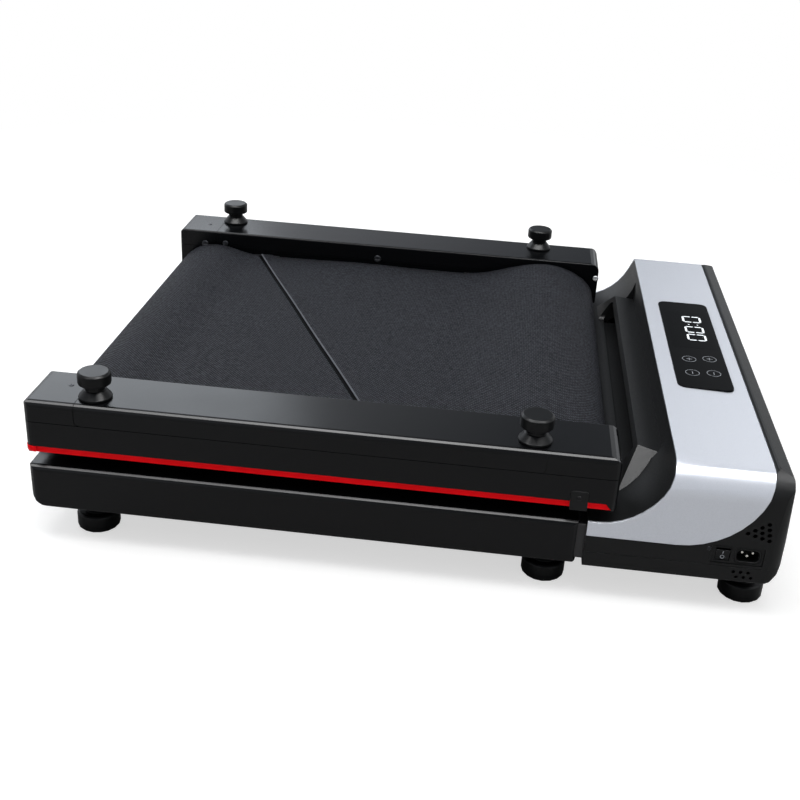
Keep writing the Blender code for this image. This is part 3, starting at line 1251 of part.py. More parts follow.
def carry(mark, names):
    """Parents pieces to the empty on their joint's axis without moving them."""
    bpy.context.view_layer.update()
    for name in names:
        piece = bpy.data.objects[name]
        world = piece.matrix_world.copy()
        piece.parent = mark
        piece.matrix_parent_inverse = mark.matrix_world.inverted()
        piece.matrix_world = world


for word, sign in (("left", 1), ("right", -1)):
    front_rail(f"front_rail_{word}", sign)
    rear_cover(f"rear_rail_cover_{word}", sign)
    rear_skirt(f"rear_rail_skirt_{word}", sign)
    hinge_cap(f"rear_hinge_cap_{word}", sign)
    accent_stripe(f"accent_stripe_{word}", sign)
    clip_tab(f"clip_tab_{word}", sign)
    side_tube(f"front_side_tube_{word}", "front", sign)
    side_tube(f"rear_side_tube_{word}", "rear", sign)
    hinge_pin(f"hinge_pin_{word}", sign)
    take_up_bolt(f"take_up_bolt_{word}", sign)
    for where, place in zip(("fold", "middle", "hood"), (*FRONT_FEET, HOOD_FOOT)):
        front_foot(f"front_foot_{where}_{word}", place, sign)
    for where, place in zip(("fold", "end"), REAR_FEET):
        rear_foot(f"rear_foot_{where}_{word}", place, sign)
for number, place in enumerate(FRONT_BARS, 1):
    cross_bar(f"front_cross_bar_{number}", "front", place, FRONT_TUBE_Y)
for number, place in enumerate(REAR_BARS, 1):
    cross_bar(f"rear_cross_bar_{number}", "rear", place, REAR_TUBE_Y)
deck("front_deck", "front", FRONT_DECK_END)
deck("rear_deck", "rear", REAR_DECK_END)
belts()
roller("front", FRONT_ROLLER)
roller("rear", REAR_ROLLER)
roller_axle("front", FRONT_ROLLER, FRONT_TUBE_Y)
roller_axle("rear", REAR_ROLLER, REAR_TUBE_Y)
drive()
hood()
display()
mains()
electronics()

press = empty("rocker_axis", SWITCH_REACH, -HALF_WIDTH + PLATE_DEEP + ROCKER_DEEP, PLATE_Z)
carry(press, ["power_rocker"])
fold = empty("fold_axis", 0, 0, HINGE_Z)
carry(fold, [thing.name for thing in PARTS.objects if thing.name.startswith((
    "rear_", "belt_rear", "accent", "clip", "take_up"))])
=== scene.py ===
# %% [markdown]
# A folding treadmill, stored folded. The drawn solids are loaded first and stay where they are.
# Every finish and every detailed piece below is fitted to them, so each step can read a
# position from the solids and doesn't have to guess one.

# %% Load the solids
import json
import math

import bmesh
import bpy
from mathutils import Matrix, Vector
from mathutils.bvhtree import BVHTree

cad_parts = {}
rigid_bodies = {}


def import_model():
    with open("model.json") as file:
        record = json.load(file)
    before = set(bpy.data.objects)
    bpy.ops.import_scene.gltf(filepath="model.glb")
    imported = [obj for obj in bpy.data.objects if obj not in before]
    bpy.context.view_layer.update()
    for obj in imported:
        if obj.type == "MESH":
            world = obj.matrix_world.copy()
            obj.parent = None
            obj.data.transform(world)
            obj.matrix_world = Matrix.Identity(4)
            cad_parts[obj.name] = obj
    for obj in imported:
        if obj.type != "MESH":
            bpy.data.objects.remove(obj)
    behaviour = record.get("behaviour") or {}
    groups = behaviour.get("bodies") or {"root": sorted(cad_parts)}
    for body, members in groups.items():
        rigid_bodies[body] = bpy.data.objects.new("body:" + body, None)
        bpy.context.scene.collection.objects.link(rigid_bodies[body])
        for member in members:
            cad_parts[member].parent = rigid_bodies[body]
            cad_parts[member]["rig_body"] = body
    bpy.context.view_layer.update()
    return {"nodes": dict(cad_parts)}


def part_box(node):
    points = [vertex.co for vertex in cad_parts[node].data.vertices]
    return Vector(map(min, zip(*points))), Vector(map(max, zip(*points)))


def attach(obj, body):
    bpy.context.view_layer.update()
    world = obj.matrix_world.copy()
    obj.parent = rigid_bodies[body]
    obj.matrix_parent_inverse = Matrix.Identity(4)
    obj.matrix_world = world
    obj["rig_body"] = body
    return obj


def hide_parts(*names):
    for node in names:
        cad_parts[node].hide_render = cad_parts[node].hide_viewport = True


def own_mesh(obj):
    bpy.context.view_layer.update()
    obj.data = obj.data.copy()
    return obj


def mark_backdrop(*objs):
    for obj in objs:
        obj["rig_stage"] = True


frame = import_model()

# %% [markdown]
# Most sizes are easier to read in millimetres. Distances along the treadmill are counted from
# the fold's axis, as a maker would on a drawing, so one function turns them into scene metres.

# %% Places along the treadmill
MM = 0.001
FOLD_X, FOLD_Z = -0.32795, 0.08195
print("axis of the fold, x and z in m:", FOLD_X, FOLD_Z)


def at(reach, y, z):
    """A point from a distance along the treadmill, a width and a height, all in millimetres."""
    return Vector((FOLD_X + reach * MM, y * MM, z * MM))


# %% [markdown]
# The photograph was taken from the walker's right, from above, with a slight roll. The camera
# stands where the perspective of the rails, feet and hood puts it.

# %% Camera
def look(place, azimuth, elevation, roll, lens):
    a, e, r = (math.radians(angle) for angle in (azimuth, elevation, roll))
    ahead = Vector((math.sin(a) * math.cos(e), math.cos(a) * math.cos(e), -math.sin(e)))
    level = Vector((math.cos(a), -math.sin(a), 0))
    above = level.cross(ahead)
    side = level * math.cos(r) + above * math.sin(r)
    top = above * math.cos(r) - level * math.sin(r)
    data = bpy.data.cameras.new("camera")
    data.lens, data.sensor_width = lens, 36.0
    camera = bpy.data.objects.new("camera", data)
    bpy.context.scene.collection.objects.link(camera)
    turn = Matrix((side, top, -ahead)).transposed().to_4x4()
    camera.matrix_world = Matrix.Translation(place) @ turn
    return camera


bpy.context.scene.camera = look((0.07396, -1.11862, 0.59456), -5.002, 26.383, 3.307, 51.75)
print("camera at", tuple(round(c, 3) for c in bpy.context.scene.camera.location))

# %% [markdown]
# Shader nodes are added by one small function: the kind of node, what its sockets hold or are
# linked to, and its settings. Colours are written as the hex values that a screen shows, and
# one function turns them into the linear values that the shader works with.

# %% Helpers for shader nodes
def linear(hex_colour):
    parts = [int(hex_colour[i:i + 2], 16) / 255 for i in (1, 3, 5)]
    return (*[p / 12.92 if p <= 0.04045 else ((p + 0.055) / 1.055) ** 2.4 for p in parts], 1.0)


def add(tree, kind, sockets=None, **settings):
    """Adds a node. sockets is {input name or number: value or the output socket to link}."""
    node = tree.nodes.new(kind)
    for name, value in settings.items():
        setattr(node, name, value)
    for key, value in (sockets or {}).items():
        if isinstance(value, bpy.types.NodeSocket):
            tree.links.new(value, node.inputs[key])
        else:
            node.inputs[key].default_value = value
    return node


print("mid grey #808080 is", round(linear("#808080")[0], 3), "to the shader")

# %% [markdown]
# Every finish is a Principled shader whose plain values are set on its own sockets. Only what
# varies over a surface, such as grain or handling marks, gets nodes, so that each material stays
# small enough to read. These helpers add a bump, a colour ramp or a range of values.

# %% Helpers for finishes
def finish(name, colour, roughness, **sockets):
    """A material with a Principled BSDF whose plain values are set on its own sockets."""
    material = bpy.data.materials.new(name)
    material.use_nodes = True
    tree = material.node_tree
    shader = tree.nodes["Principled BSDF"]
    shader.inputs["Base Color"].default_value = linear(colour)
    shader.inputs["Roughness"].default_value = roughness
    for socket, value in sockets.items():
        shader.inputs[socket.replace("_", " ")].default_value = value
    return material, tree, shader


def bumpy(tree, shader, height, strength, distance):
    """Links a height to the shader as bump; distance is the real depth in metres."""
    bump = add(tree, "ShaderNodeBump", {"Height": height, "Strength": strength, "Distance": distance})
    tree.links.new(bump.outputs["Normal"], shader.inputs["Normal"])


def ramp(tree, factor, stops):
    """A colour ramp from (place, hex colour) stops."""
    node = add(tree, "ShaderNodeValToRGB", {"Fac": factor})
    for number, (place, colour) in enumerate(stops):
        stop = node.color_ramp.elements[number] if number < 2 else node.color_ramp.elements.new(place)
        stop.position, stop.color = place, linear(colour)
    return node.outputs["Color"]


def between(tree, factor, low, high):
    """A factor from 0 to 1 turned into a value from low to high."""
    return add(tree, "ShaderNodeMapRange", {"Value": factor, "To Min": low, "To Max": high}).outputs[0]


def made(*materials):
    for material in materials:
        print("finish:", material.name, "with", len(material.node_tree.nodes), "nodes")


# %% [markdown]
# The stage is a pale floor under plain soft light. The background's white comes from the
# floor's and the world's own colour as the camera sees it, and never from more light on the
# treadmill, so that the black mouldings keep their depth.

# %% Floor
NEAR_GLOW = 0.6                   # how much the camera's white lifts the floor by the treadmill
FADE_START, FADE_END = 0.75, 1.5  # distances in metres over which the floor turns plain white
MIRRORED_WHITE = 0.6              # white of the far floor as gloss sees it, where the camera sees 1


def ground():
    """A floor that keeps the shadow near the treadmill and fades to plain white further out."""
    bpy.ops.mesh.primitive_plane_add(size=60, location=(0, 0, 0))
    floor = bpy.context.object
    floor.name = "studio_floor"
    material, tree, shader = finish("matt white floor", "#cfcfcf", 0.9, Specular_IOR_Level=0.0)
    path = add(tree, "ShaderNodeLightPath")
    camera, glossy = path.outputs["Is Camera Ray"], path.outputs["Is Glossy Ray"]
    seen = add(tree, "ShaderNodeMath", {0: camera, 1: glossy}, operation="MAXIMUM")
    glow = add(tree, "ShaderNodeMath", {0: camera, 1: NEAR_GLOW}, operation="MULTIPLY")
    lift = add(tree, "ShaderNodeEmission", {"Color": linear("#ffffff"), "Strength": glow.outputs[0]})
    near = add(tree, "ShaderNodeAddShader", {0: shader.outputs[0], 1: lift.outputs[0]})
    away = add(tree, "ShaderNodeVectorMath", {0: add(tree, "ShaderNodeTexCoord").outputs["Object"]},
               operation="LENGTH")
    fade = add(tree, "ShaderNodeMapRange",
               {"Value": away.outputs["Value"], "From Min": FADE_START, "From Max": FADE_END})
    far = add(tree, "ShaderNodeMath", {0: fade.outputs[0], 1: seen.outputs[0]}, operation="MULTIPLY")
    shine = add(tree, "ShaderNodeMath", {0: camera, 1: 1.0 - MIRRORED_WHITE, 2: MIRRORED_WHITE},
                operation="MULTIPLY_ADD")
    white = add(tree, "ShaderNodeEmission", {"Color": linear("#ffffff"), "Strength": shine.outputs[0]})
    mix = add(tree, "ShaderNodeMixShader", {0: far.outputs[0], 1: near.outputs[0], 2: white.outputs[0]})
    tree.links.new(mix.outputs[0], tree.nodes["Material Output"].inputs["Surface"])
    floor.data.materials.append(material)
    made(material)
    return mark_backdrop(floor)


ground()

# %% [markdown]
# A studio hangs large soft lamps round a glossy product, because gloss shows whatever stands
# round it. The sky gives a dim light from all sides. One long strip shapes the silver cover and
# the rails, and a second is seen only in the gloss, so it draws highlights and adds no shadow.

# %% Background and lamps
SOFT_SKY = 0.36                   # light from all round


def surroundings():
    """White for the camera. Gloss sees two bright sides with a darker gap between them."""
    world = bpy.data.worlds.new("studio")
    bpy.context.scene.world = world
    world.use_nodes = True
    tree = world.node_tree
    tree.nodes.clear()
    path = add(tree, "ShaderNodeLightPath")
    seen = add(tree, "ShaderNodeMath", {0: path.outputs["Is Camera Ray"],
                                        1: path.outputs["Is Transmission Ray"]}, operation="MAXIMUM")
    light = add(tree, "ShaderNodeBackground", {"Color": linear("#ffffff"), "Strength": SOFT_SKY})
    white = add(tree, "ShaderNodeBackground", {"Color": linear("#ffffff"), "Strength": 1.0})
    way = add(tree, "ShaderNodeSeparateXYZ", {0: add(tree, "ShaderNodeTexCoord").outputs["Generated"]})
    turn = add(tree, "ShaderNodeMath", {0: way.outputs["X"], 1: 0.5}, operation="ADD")
    panels = ramp(tree, turn.outputs[0], [(0.20, "#f4f8ff"), (0.60, "#6f747b"), (0.68, "#c8ccd2"),
                                          (0.78, "#f8fbff")])
    gloss = add(tree, "ShaderNodeBackground", {"Color": panels, "Strength": 1.0})
    first = add(tree, "ShaderNodeMixShader", {0: path.outputs["Is Glossy Ray"], 1: light.outputs[0],
                                              2: gloss.outputs[0]})
    last = add(tree, "ShaderNodeMixShader", {0: seen.outputs[0], 1: first.outputs[0], 2: white.outputs[0]})
    add(tree, "ShaderNodeOutputWorld", {"Surface": last.outputs[0]})


def softbox(name, place, target, size, power, colour=(1, 1, 1)):
    data = bpy.data.lights.new(name, "AREA")
    data.color = colour
    data.shape, data.size, data.size_y, data.energy = "RECTANGLE", size[0], size[1], power
    lamp = bpy.data.objects.new(name, data)
    bpy.context.scene.collection.objects.link(lamp)
    lamp.location = place
    lamp.rotation_euler = (Vector(target) - Vector(place)).to_track_quat("-Z", "Y").to_euler()
    return lamp


surroundings()
softbox("key_strip", (-0.15, -0.30, 1.6), (0, -0.1, 0.1), (1.7, 0.5), 18.0)
strip = softbox("gloss_strip", (0.0, -0.5, 1.5), (0, -0.1, 0.1), (2.2, 0.55), 56.0)
strip.visible_diffuse = False
softbox("fill_softbox", (1.5, -0.5, 1.2), (0.1, 0, 0.08), (1.0, 1.0), 3.0)
softbox("back_softbox", (-1.05, 1.3, 1.05), (0, 0, 0.1), (1.4, 0.8), 9.5, (0.88, 0.94, 1.0))
bpy.context.scene.view_settings.view_transform = "Standard"

# %% [markdown]
# The side rails and the hood are injection moulded ABS, black all through. A polished mould
# leaves it glossy, with a faint waviness that bends highlights, and handling leaves dull
# patches. The grain is drawn about 0.6 mm across, coarser than the real one, so that it shows.

# %% Glossy black ABS
def black_abs():
    material, tree, shader = finish("moulded black ABS", "#07080a", 0.3, Specular_IOR_Level=0.18)
    place = add(tree, "ShaderNodeTexCoord").outputs["Object"]
    patches = add(tree, "ShaderNodeTexNoise", {"Vector": place, "Scale": 14.0, "Detail": 3.0})
    grain = add(tree, "ShaderNodeTexNoise", {"Vector": place, "Scale": 1700.0, "Detail": 2.0})
    waves = add(tree, "ShaderNodeTexNoise", {"Vector": place, "Scale": 45.0, "Detail": 1.0})
    tree.links.new(between(tree, patches.outputs["Fac"], 0.17, 0.29), shader.inputs["Roughness"])
    height = add(tree, "ShaderNodeMath", {0: waves.outputs["Fac"], 1: 6.0, 2: grain.outputs["Fac"]},
                 operation="MULTIPLY_ADD")
    bumpy(tree, shader, height.outputs[0], 0.25, 0.00002)
    return material


BLACK_ABS = black_abs()
made(BLACK_ABS)

# %% [markdown]
# Covers that hands and shoes touch come from a spark-eroded mould, which gives ABS a fine
# leathery grain. It scatters highlights, so it looks satin and a little lighter.

# %% Grained black ABS
def grained_abs():
    material, tree, shader = finish("spark-grained black ABS", "#0b0c0d", 0.45, Specular_IOR_Level=0.2)
    place = add(tree, "ShaderNodeTexCoord").outputs["Object"]
    grain = add(tree, "ShaderNodeTexVoronoi", {"Vector": place, "Scale": 1100.0})
    tree.links.new(between(tree, grain.outputs["Distance"], 0.36, 0.52), shader.inputs["Roughness"])
    bumpy(tree, shader, grain.outputs["Distance"], 0.4, 0.00006)
    return material


GRAINED_ABS = grained_abs()
made(GRAINED_ABS)

# %% [markdown]
# The silver cover is ABS sprayed with a metallic lacquer. Its tiny aluminium flakes lie under
# a clear coat, so it is brightest where it faces the light and greyer to the side.

# %% Silver lacquer
def silver_lacquer():
    material, tree, shader = finish("silver lacquered ABS", "#d3d7de", 0.26, Metallic=0.3,
                                    Coat_Weight=0.25, Coat_Roughness=0.1)
    place = add(tree, "ShaderNodeTexCoord").outputs["Object"]
    flakes = add(tree, "ShaderNodeTexVoronoi", {"Vector": place, "Scale": 2600.0})
    tint = ramp(tree, flakes.outputs["Distance"], [(0.0, "#dfe3ec"), (0.55, "#d6dae3"), (1.0, "#ccd0d9")])
    tree.links.new(tint, shader.inputs["Base Color"])
    haze = add(tree, "ShaderNodeTexNoise", {"Vector": place, "Scale": 9.0, "Detail": 2.0})
    tree.links.new(between(tree, haze.outputs["Fac"], 0.2, 0.3), shader.inputs["Roughness"])
    bumpy(tree, shader, flakes.outputs["Distance"], 0.12, 0.00001)
    return material


SILVER = silver_lacquer()
made(SILVER)

# %% [markdown]
# The stripe along the rear rails is a separate moulding in signal red ABS. Its colour is
# through and through, and a faint grain keeps its highlight soft.

# %% Red ABS
def red_abs():
    material, tree, shader = finish("signal red ABS", "#f8000e", 0.34, Specular_IOR_Level=0.08)
    place = add(tree, "ShaderNodeTexCoord").outputs["Object"]
    cloud = add(tree, "ShaderNodeTexNoise", {"Vector": place, "Scale": 30.0, "Detail": 2.0})
    tree.links.new(ramp(tree, cloud.outputs["Fac"], [(0.3, "#f4000d"), (0.7, "#ff0012")]),
                   shader.inputs["Base Color"])
    grain = add(tree, "ShaderNodeTexNoise", {"Vector": place, "Scale": 1500.0})
    bumpy(tree, shader, grain.outputs["Fac"], 0.15, 0.00002)
    return material


RED_ABS = red_abs()
made(RED_ABS)

# %% [markdown]
# The walking belt is a woven polyester carcass with a black PVC face, embossed in small
# diamonds for grip. The pattern follows the belt's length and width round every bend, so it
# is laid out on the belt's own map, which is in metres. The real diamonds are near 1.5 mm
# apart and would not show, so they are drawn 3.5 mm apart. Their colour is painted darker in
# the grooves and lighter on the tops, as painted shade and painted highlight.

# %% Walking belt
DIAMOND = 3.5 * MM


def belt_pvc():
    material, tree, shader = finish("embossed PVC belt", "#16171a", 0.6, Specular_IOR_Level=0.05)
    flat = add(tree, "ShaderNodeUVMap", uv_map="belt").outputs["UV"]
    split = add(tree, "ShaderNodeSeparateXYZ", {0: flat})
    ridges = []
    for sign in (1.0, -1.0):
        slope = add(tree, "ShaderNodeMath", {0: split.outputs["Y"], 1: sign, 2: split.outputs["X"]},
                    operation="MULTIPLY_ADD")
        turn = add(tree, "ShaderNodeMath", {0: slope.outputs[0], 1: math.pi / DIAMOND}, operation="MULTIPLY")
        wave = add(tree, "ShaderNodeMath", {0: turn.outputs[0]}, operation="SINE")
        ridges.append(add(tree, "ShaderNodeMath", {0: wave.outputs[0]}, operation="ABSOLUTE").outputs[0])
    relief = add(tree, "ShaderNodeMath", {0: ridges[0], 1: ridges[1]}, operation="MINIMUM").outputs[0]
    relief = between(tree, relief, 0.0, 0.68)
    place = add(tree, "ShaderNodeTexCoord").outputs["Object"]
    threads = add(tree, "ShaderNodeTexNoise", {"Vector": place, "Scale": 330.0, "Detail": 3.0})
    dust = add(tree, "ShaderNodeTexNoise", {"Vector": place, "Scale": 12.0, "Detail": 4.0})
    rough = add(tree, "ShaderNodeMath", {0: threads.outputs["Fac"], 1: 0.8, 2: relief},
                operation="MULTIPLY_ADD")
    # The colour follows the embossing, darker in the grooves and lighter on the tops. That is painted shade
    # and painted highlight, with a random tone from the threads and dust mixed in.
    tint = ramp(tree, rough.outputs[0], [(0.35, "#050506"), (0.68, "#0f1013"), (1.0, "#484a51")])
    painted_emboss_shade_and_dust = add(tree, "ShaderNodeMix", {"Factor": between(tree, dust.outputs["Fac"], 0.0, 0.2), "A": tint,
                                       "B": linear("#17181b")}, data_type="RGBA")
    tree.links.new(painted_emboss_shade_and_dust.outputs["Result"], shader.inputs["Base Color"])
    bumpy(tree, shader, rough.outputs[0], 0.9, 0.0011)
    return material


BELT = belt_pvc()
made(BELT)

# %% [markdown]
# The feet are moulded rubber on steel studs. New rubber has a slight shine from its mould and
# a very fine stipple that dust settles in.

# %% Moulded rubber
def moulded_rubber():
    material, tree, shader = finish("moulded nitrile rubber", "#08090a", 0.3, Specular_IOR_Level=0.15)
    place = add(tree, "ShaderNodeTexCoord").outputs["Object"]
    stipple = add(tree, "ShaderNodeTexNoise", {"Vector": place, "Scale": 1300.0, "Detail": 2.0})
    smear = add(tree, "ShaderNodeTexNoise", {"Vector": place, "Scale": 60.0, "Detail": 3.0})
    tree.links.new(between(tree, smear.outputs["Fac"], 0.22, 0.4), shader.inputs["Roughness"])
    bumpy(tree, shader, stipple.outputs["Fac"], 0.25, 0.00004)
    return material


RUBBER = moulded_rubber()
made(RUBBER)

# %% [markdown]
# Rollers, axles, pins and bolts are plain turned steel. A lathe leaves fine rings round the
# axis. Here they lie about 1 mm apart along the width, the axis of all but the bolts.

# %% Turned steel
def turned_steel():
    material, tree, shader = finish("turned steel", "#b5b6b8", 0.32, Metallic=1.0)
    place = add(tree, "ShaderNodeTexCoord").outputs["Object"]
    rings = add(tree, "ShaderNodeTexWave", {"Vector": place, "Scale": 320.0, "Distortion": 1.5},
                bands_direction="Y")
    stain = add(tree, "ShaderNodeTexNoise", {"Vector": place, "Scale": 80.0, "Detail": 3.0})
    tree.links.new(between(tree, stain.outputs["Fac"], 0.25, 0.42), shader.inputs["Roughness"])
    bumpy(tree, shader, rings.outputs["Fac"], 0.15, 0.00002)
    return material


STEEL = turned_steel()
made(STEEL)

# %% [markdown]
# The tubes and cross bars inside are steel under black powder coat. Powder flows out with a
# slight orange peel about 1.5 mm across, which breaks up highlights.

# %% Black powder coat
def powder_coat():
    material, tree, shader = finish("black powder coated steel", "#1b1b1d", 0.45)
    place = add(tree, "ShaderNodeTexCoord").outputs["Object"]
    peel = add(tree, "ShaderNodeTexNoise", {"Vector": place, "Scale": 650.0, "Detail": 1.0})
    tree.links.new(between(tree, peel.outputs["Fac"], 0.38, 0.52), shader.inputs["Roughness"])
    bumpy(tree, shader, peel.outputs["Fac"], 0.3, 0.00006)
    return material


POWDER_COAT = powder_coat()
made(POWDER_COAT)

# %% [markdown]
# The deck under the belt is dense fibreboard with a waxed brown paper face. Its fibres are
# short and run every way, and the wax gives a low even sheen.

# %% Deck board
def fibreboard():
    material, tree, shader = finish("waxed fibreboard", "#4a3a2c", 0.55)
    place = add(tree, "ShaderNodeTexCoord").outputs["Object"]
    fibres = add(tree, "ShaderNodeTexNoise", {"Vector": place, "Scale": 260.0, "Detail": 6.0})
    tree.links.new(ramp(tree, fibres.outputs["Fac"], [(0.3, "#3d2f23"), (0.7, "#5a4735")]),
                   shader.inputs["Base Color"])
    bumpy(tree, shader, fibres.outputs["Fac"], 0.2, 0.00008)
    return material


FIBREBOARD = fibreboard()
made(FIBREBOARD)

# %% [markdown]
# The display is tinted acrylic over the lamps, polished and a little scuffed. Under it lies a
# circuit board in green lacquer, and the motor's controller has a sand-cast aluminium case.

# %% Display acrylic, circuit board and cast aluminium
def acrylic(name, colour):
    material, tree, shader = finish(name, colour, 0.12, Specular_IOR_Level=0.02)
    place = add(tree, "ShaderNodeTexCoord").outputs["Object"]
    scuffs = add(tree, "ShaderNodeTexNoise", {"Vector": place, "Scale": 120.0, "Detail": 5.0})
    tree.links.new(between(tree, scuffs.outputs["Fac"], 0.12, 0.24), shader.inputs["Roughness"])
    return material


def lacquered_board():
    material, tree, shader = finish("green lacquered circuit board", "#1c5a34", 0.35)
    place = add(tree, "ShaderNodeTexCoord").outputs["Object"]
    tracks = add(tree, "ShaderNodeTexBrick", {"Vector": place, "Scale": 90.0, "Color1": linear("#1c5a34"),
                                              "Color2": linear("#24683f"), "Mortar": linear("#4c8a55")})
    tree.links.new(tracks.outputs["Color"], shader.inputs["Base Color"])
    return material


def cast_aluminium():
    material, tree, shader = finish("cast aluminium", "#9a9b9d", 0.5, Metallic=1.0)
    place = add(tree, "ShaderNodeTexCoord").outputs["Object"]
    sand = add(tree, "ShaderNodeTexNoise", {"Vector": place, "Scale": 700.0, "Detail": 3.0})
    bumpy(tree, shader, sand.outputs["Fac"], 0.3, 0.00006)
    return material


ACRYLIC = acrylic("tinted black acrylic", "#0c0d0e")
WINDOW = acrylic("clear display window over black", "#08090a")
RECEIVER = acrylic("dark red acrylic", "#26070c")
BOARD = lacquered_board()
CAST = cast_aluminium()
made(ACRYLIC, WINDOW, RECEIVER, BOARD, CAST)

# %% [markdown]
# The clock's segments are lamps behind diffusers, so they glow a little by themselves. The
# signs are screen-printed in pale grey ink, the small screws are blackened steel, and the belt's
# cut edge shows its grey carcass. Beside that edge, a near-black strip is painted shadow.

# %% Lamps, ink, blackened steel, the belt's cut edge and painted shadow
def lit_segment():
    material, tree, shader = finish("lit diffuser", "#eef3f6", 0.4, Emission_Strength=0.35)
    shader.inputs["Emission Color"].default_value = linear("#f2f8ff")
    place = add(tree, "ShaderNodeTexCoord").outputs["Object"]
    haze = add(tree, "ShaderNodeTexNoise", {"Vector": place, "Scale": 400.0})
    tree.links.new(between(tree, haze.outputs["Fac"], 0.35, 0.5), shader.inputs["Roughness"])
    return material


def inked(name, colour, roughness, scale, depth, **sockets):
    material, tree, shader = finish(name, colour, roughness, **sockets)
    place = add(tree, "ShaderNodeTexCoord").outputs["Object"]
    grit = add(tree, "ShaderNodeTexNoise", {"Vector": place, "Scale": scale, "Detail": 3.0})
    tree.links.new(between(tree, grit.outputs["Fac"], roughness - 0.08, roughness + 0.08),
                   shader.inputs["Roughness"])
    bumpy(tree, shader, grit.outputs["Fac"], 0.2, depth)
    return material


LIT = lit_segment()
PRINT = inked("pale grey printing ink", "#8b8f95", 0.5, 900.0, 0.00001)
BLACKENED = inked("blackened steel", "#2a2b2e", 0.32, 500.0, 0.00002, Metallic=0.8)
RAW_EDGE = inked("cut edge of the belt", "#5c5e64", 0.7, 700.0, 0.0001, Specular_IOR_Level=0.1)
# The near-black strip beside the belt's joint is painted shadow under its raised edge.
PAINTED_JOINT_SHADOW = inked("painted shadow beside the belt joint", "#020203", 0.6, 700.0, 0.0001, Specular_IOR_Level=0.02)
made(LIT, PRINT, BLACKENED, RAW_EDGE, PAINTED_JOINT_SHADOW)

# %% [markdown]
# A solid from the drawing has perfectly sharp edges, and no moulding has. So each one is
# copied, its triangles are joined back into flat faces, and its edges are eased by a millimetre
# or less with a Bevel modifier. The eased edges catch the light as real ones do.

# %% Dress the solids
CREASE = math.radians(30)         # a sharper bend between two faces counts as an edge


def piece_of(name, shape, *materials):
    """A new object in the scene from a finished bmesh."""
    mesh = bpy.data.meshes.new(name)
    shape.to_mesh(mesh)
    shape.free()
    for material in materials:
        mesh.materials.append(material)
    piece = bpy.data.objects.new(name, mesh)
    bpy.context.scene.collection.objects.link(piece)
    return piece


def dress(node, material, edge=0.4, steps=2, soft=None):
    """A copy of a solid with eased edges, on the same body, in its place. edge is in millimetres.
    soft is (a wider easing, a test of an edge's two ends in millimetres that picks its edges)."""
    source = frame["nodes"][node]
    shape = bmesh.new()
    shape.from_mesh(source.data)
    bmesh.ops.remove_doubles(shape, verts=shape.verts, dist=3e-6)
    bmesh.ops.dissolve_limit(shape, angle_limit=math.radians(0.6), verts=shape.verts, edges=shape.edges)
    piece = piece_of(node + "_skin", shape, material)
    mesh = piece.data
    for name in ("custom_normal", "sharp_edge"):
        layer = mesh.attributes.get(name)
        if layer:
            mesh.attributes.remove(layer)
    mesh.shade_smooth()
    mesh.set_sharp_from_angle(angle=CREASE)
    bevel = piece.modifiers.new("eased edges", "BEVEL")
    bevel.width, bevel.segments = edge * MM, steps
    bevel.limit_method, bevel.angle_limit = "ANGLE", CREASE
    bevel.miter_outer = "MITER_ARC"
    if soft:
        wide, chosen = soft
        bevel.width, bevel.segments, bevel.limit_method = wide * MM, steps + 2, "WEIGHT"
        sharp = mesh.attributes["sharp_edge"].data
        weights = mesh.attributes.new("bevel_weight_edge", "FLOAT", "EDGE").data
        for line in mesh.edges:
            if sharp[line.index].value:
                ends = [mesh.vertices[v].co / MM for v in line.vertices]
                weights[line.index].value = 1.0 if chosen(*ends) else edge / wide
    evened = piece.modifiers.new("flat faces stay flat", "WEIGHTED_NORMAL")
    evened.keep_sharp, evened.weight = True, 90
    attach(piece, source["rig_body"])
    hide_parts(node)
    return piece


# %% [markdown]
# Every solid gets the finish of its real material. The rails' ends were moulded rounder than the
# rest, so the edges there are picked by their place and eased by 3 to 4.5 mm.

# %% Rails, frame and feet
SIDES = ("left", "right")
FOLD_END = -325.5
HOOD_END = {word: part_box(f"rear_rail_cover_{word}")[1][0] / MM for word in SIDES}
for word in SIDES:
    dress(f"front_rail_{word}", BLACK_ABS,
          soft=(3.0, lambda a, b: max(a.x, b.x) < FOLD_END and min(a.z, b.z) > 60))
    dress(f"rear_rail_cover_{word}", BLACK_ABS,
          soft=(4.5, lambda a, b: min(a.x, b.x) > HOOD_END[word] - 1.0 and max(a.z, b.z) > 125))
    dress(f"rear_rail_skirt_{word}", BLACK_ABS,
          soft=(4.5, lambda a, b: min(a.x, b.x) > HOOD_END[word] - 1.0 and abs(a.z - b.z) > 5))
    dress(f"rear_hinge_cap_{word}", BLACK_ABS,
          soft=(3.0, lambda a, b: max(a.x, b.x) < FOLD_END and min(a.z, b.z) > 125))
    dress(f"accent_stripe_{word}", RED_ABS, 0.3)
    dress(f"clip_tab_{word}", GRAINED_ABS, 0.25)
    dress(f"front_side_tube_{word}", POWDER_COAT, 0.3)
    dress(f"rear_side_tube_{word}", POWDER_COAT, 0.3)
    dress(f"hinge_pin_{word}", STEEL, 0.2)
    dress(f"take_up_bolt_{word}", STEEL, 0.2)
    for where in ("fold", "middle", "hood"):
        dress(f"front_foot_{where}_{word}", RUBBER, 0.5)
    for where in ("fold", "end"):
        dress(f"rear_foot_{where}_{word}", RUBBER, 0.4)
for number in (1, 2):
    dress(f"front_cross_bar_{number}", POWDER_COAT)
    dress(f"rear_cross_bar_{number}", POWDER_COAT)
print("hood ends of the rails, x in mm:", [round(x, 2) for x in HOOD_END.values()])

# %% [markdown]
# Turned, cast and powder-coated metal sits inside. The hood's covers are grained. The silver one
# is eased by a whole millimetre, since its edges are the ones that catch the most light.

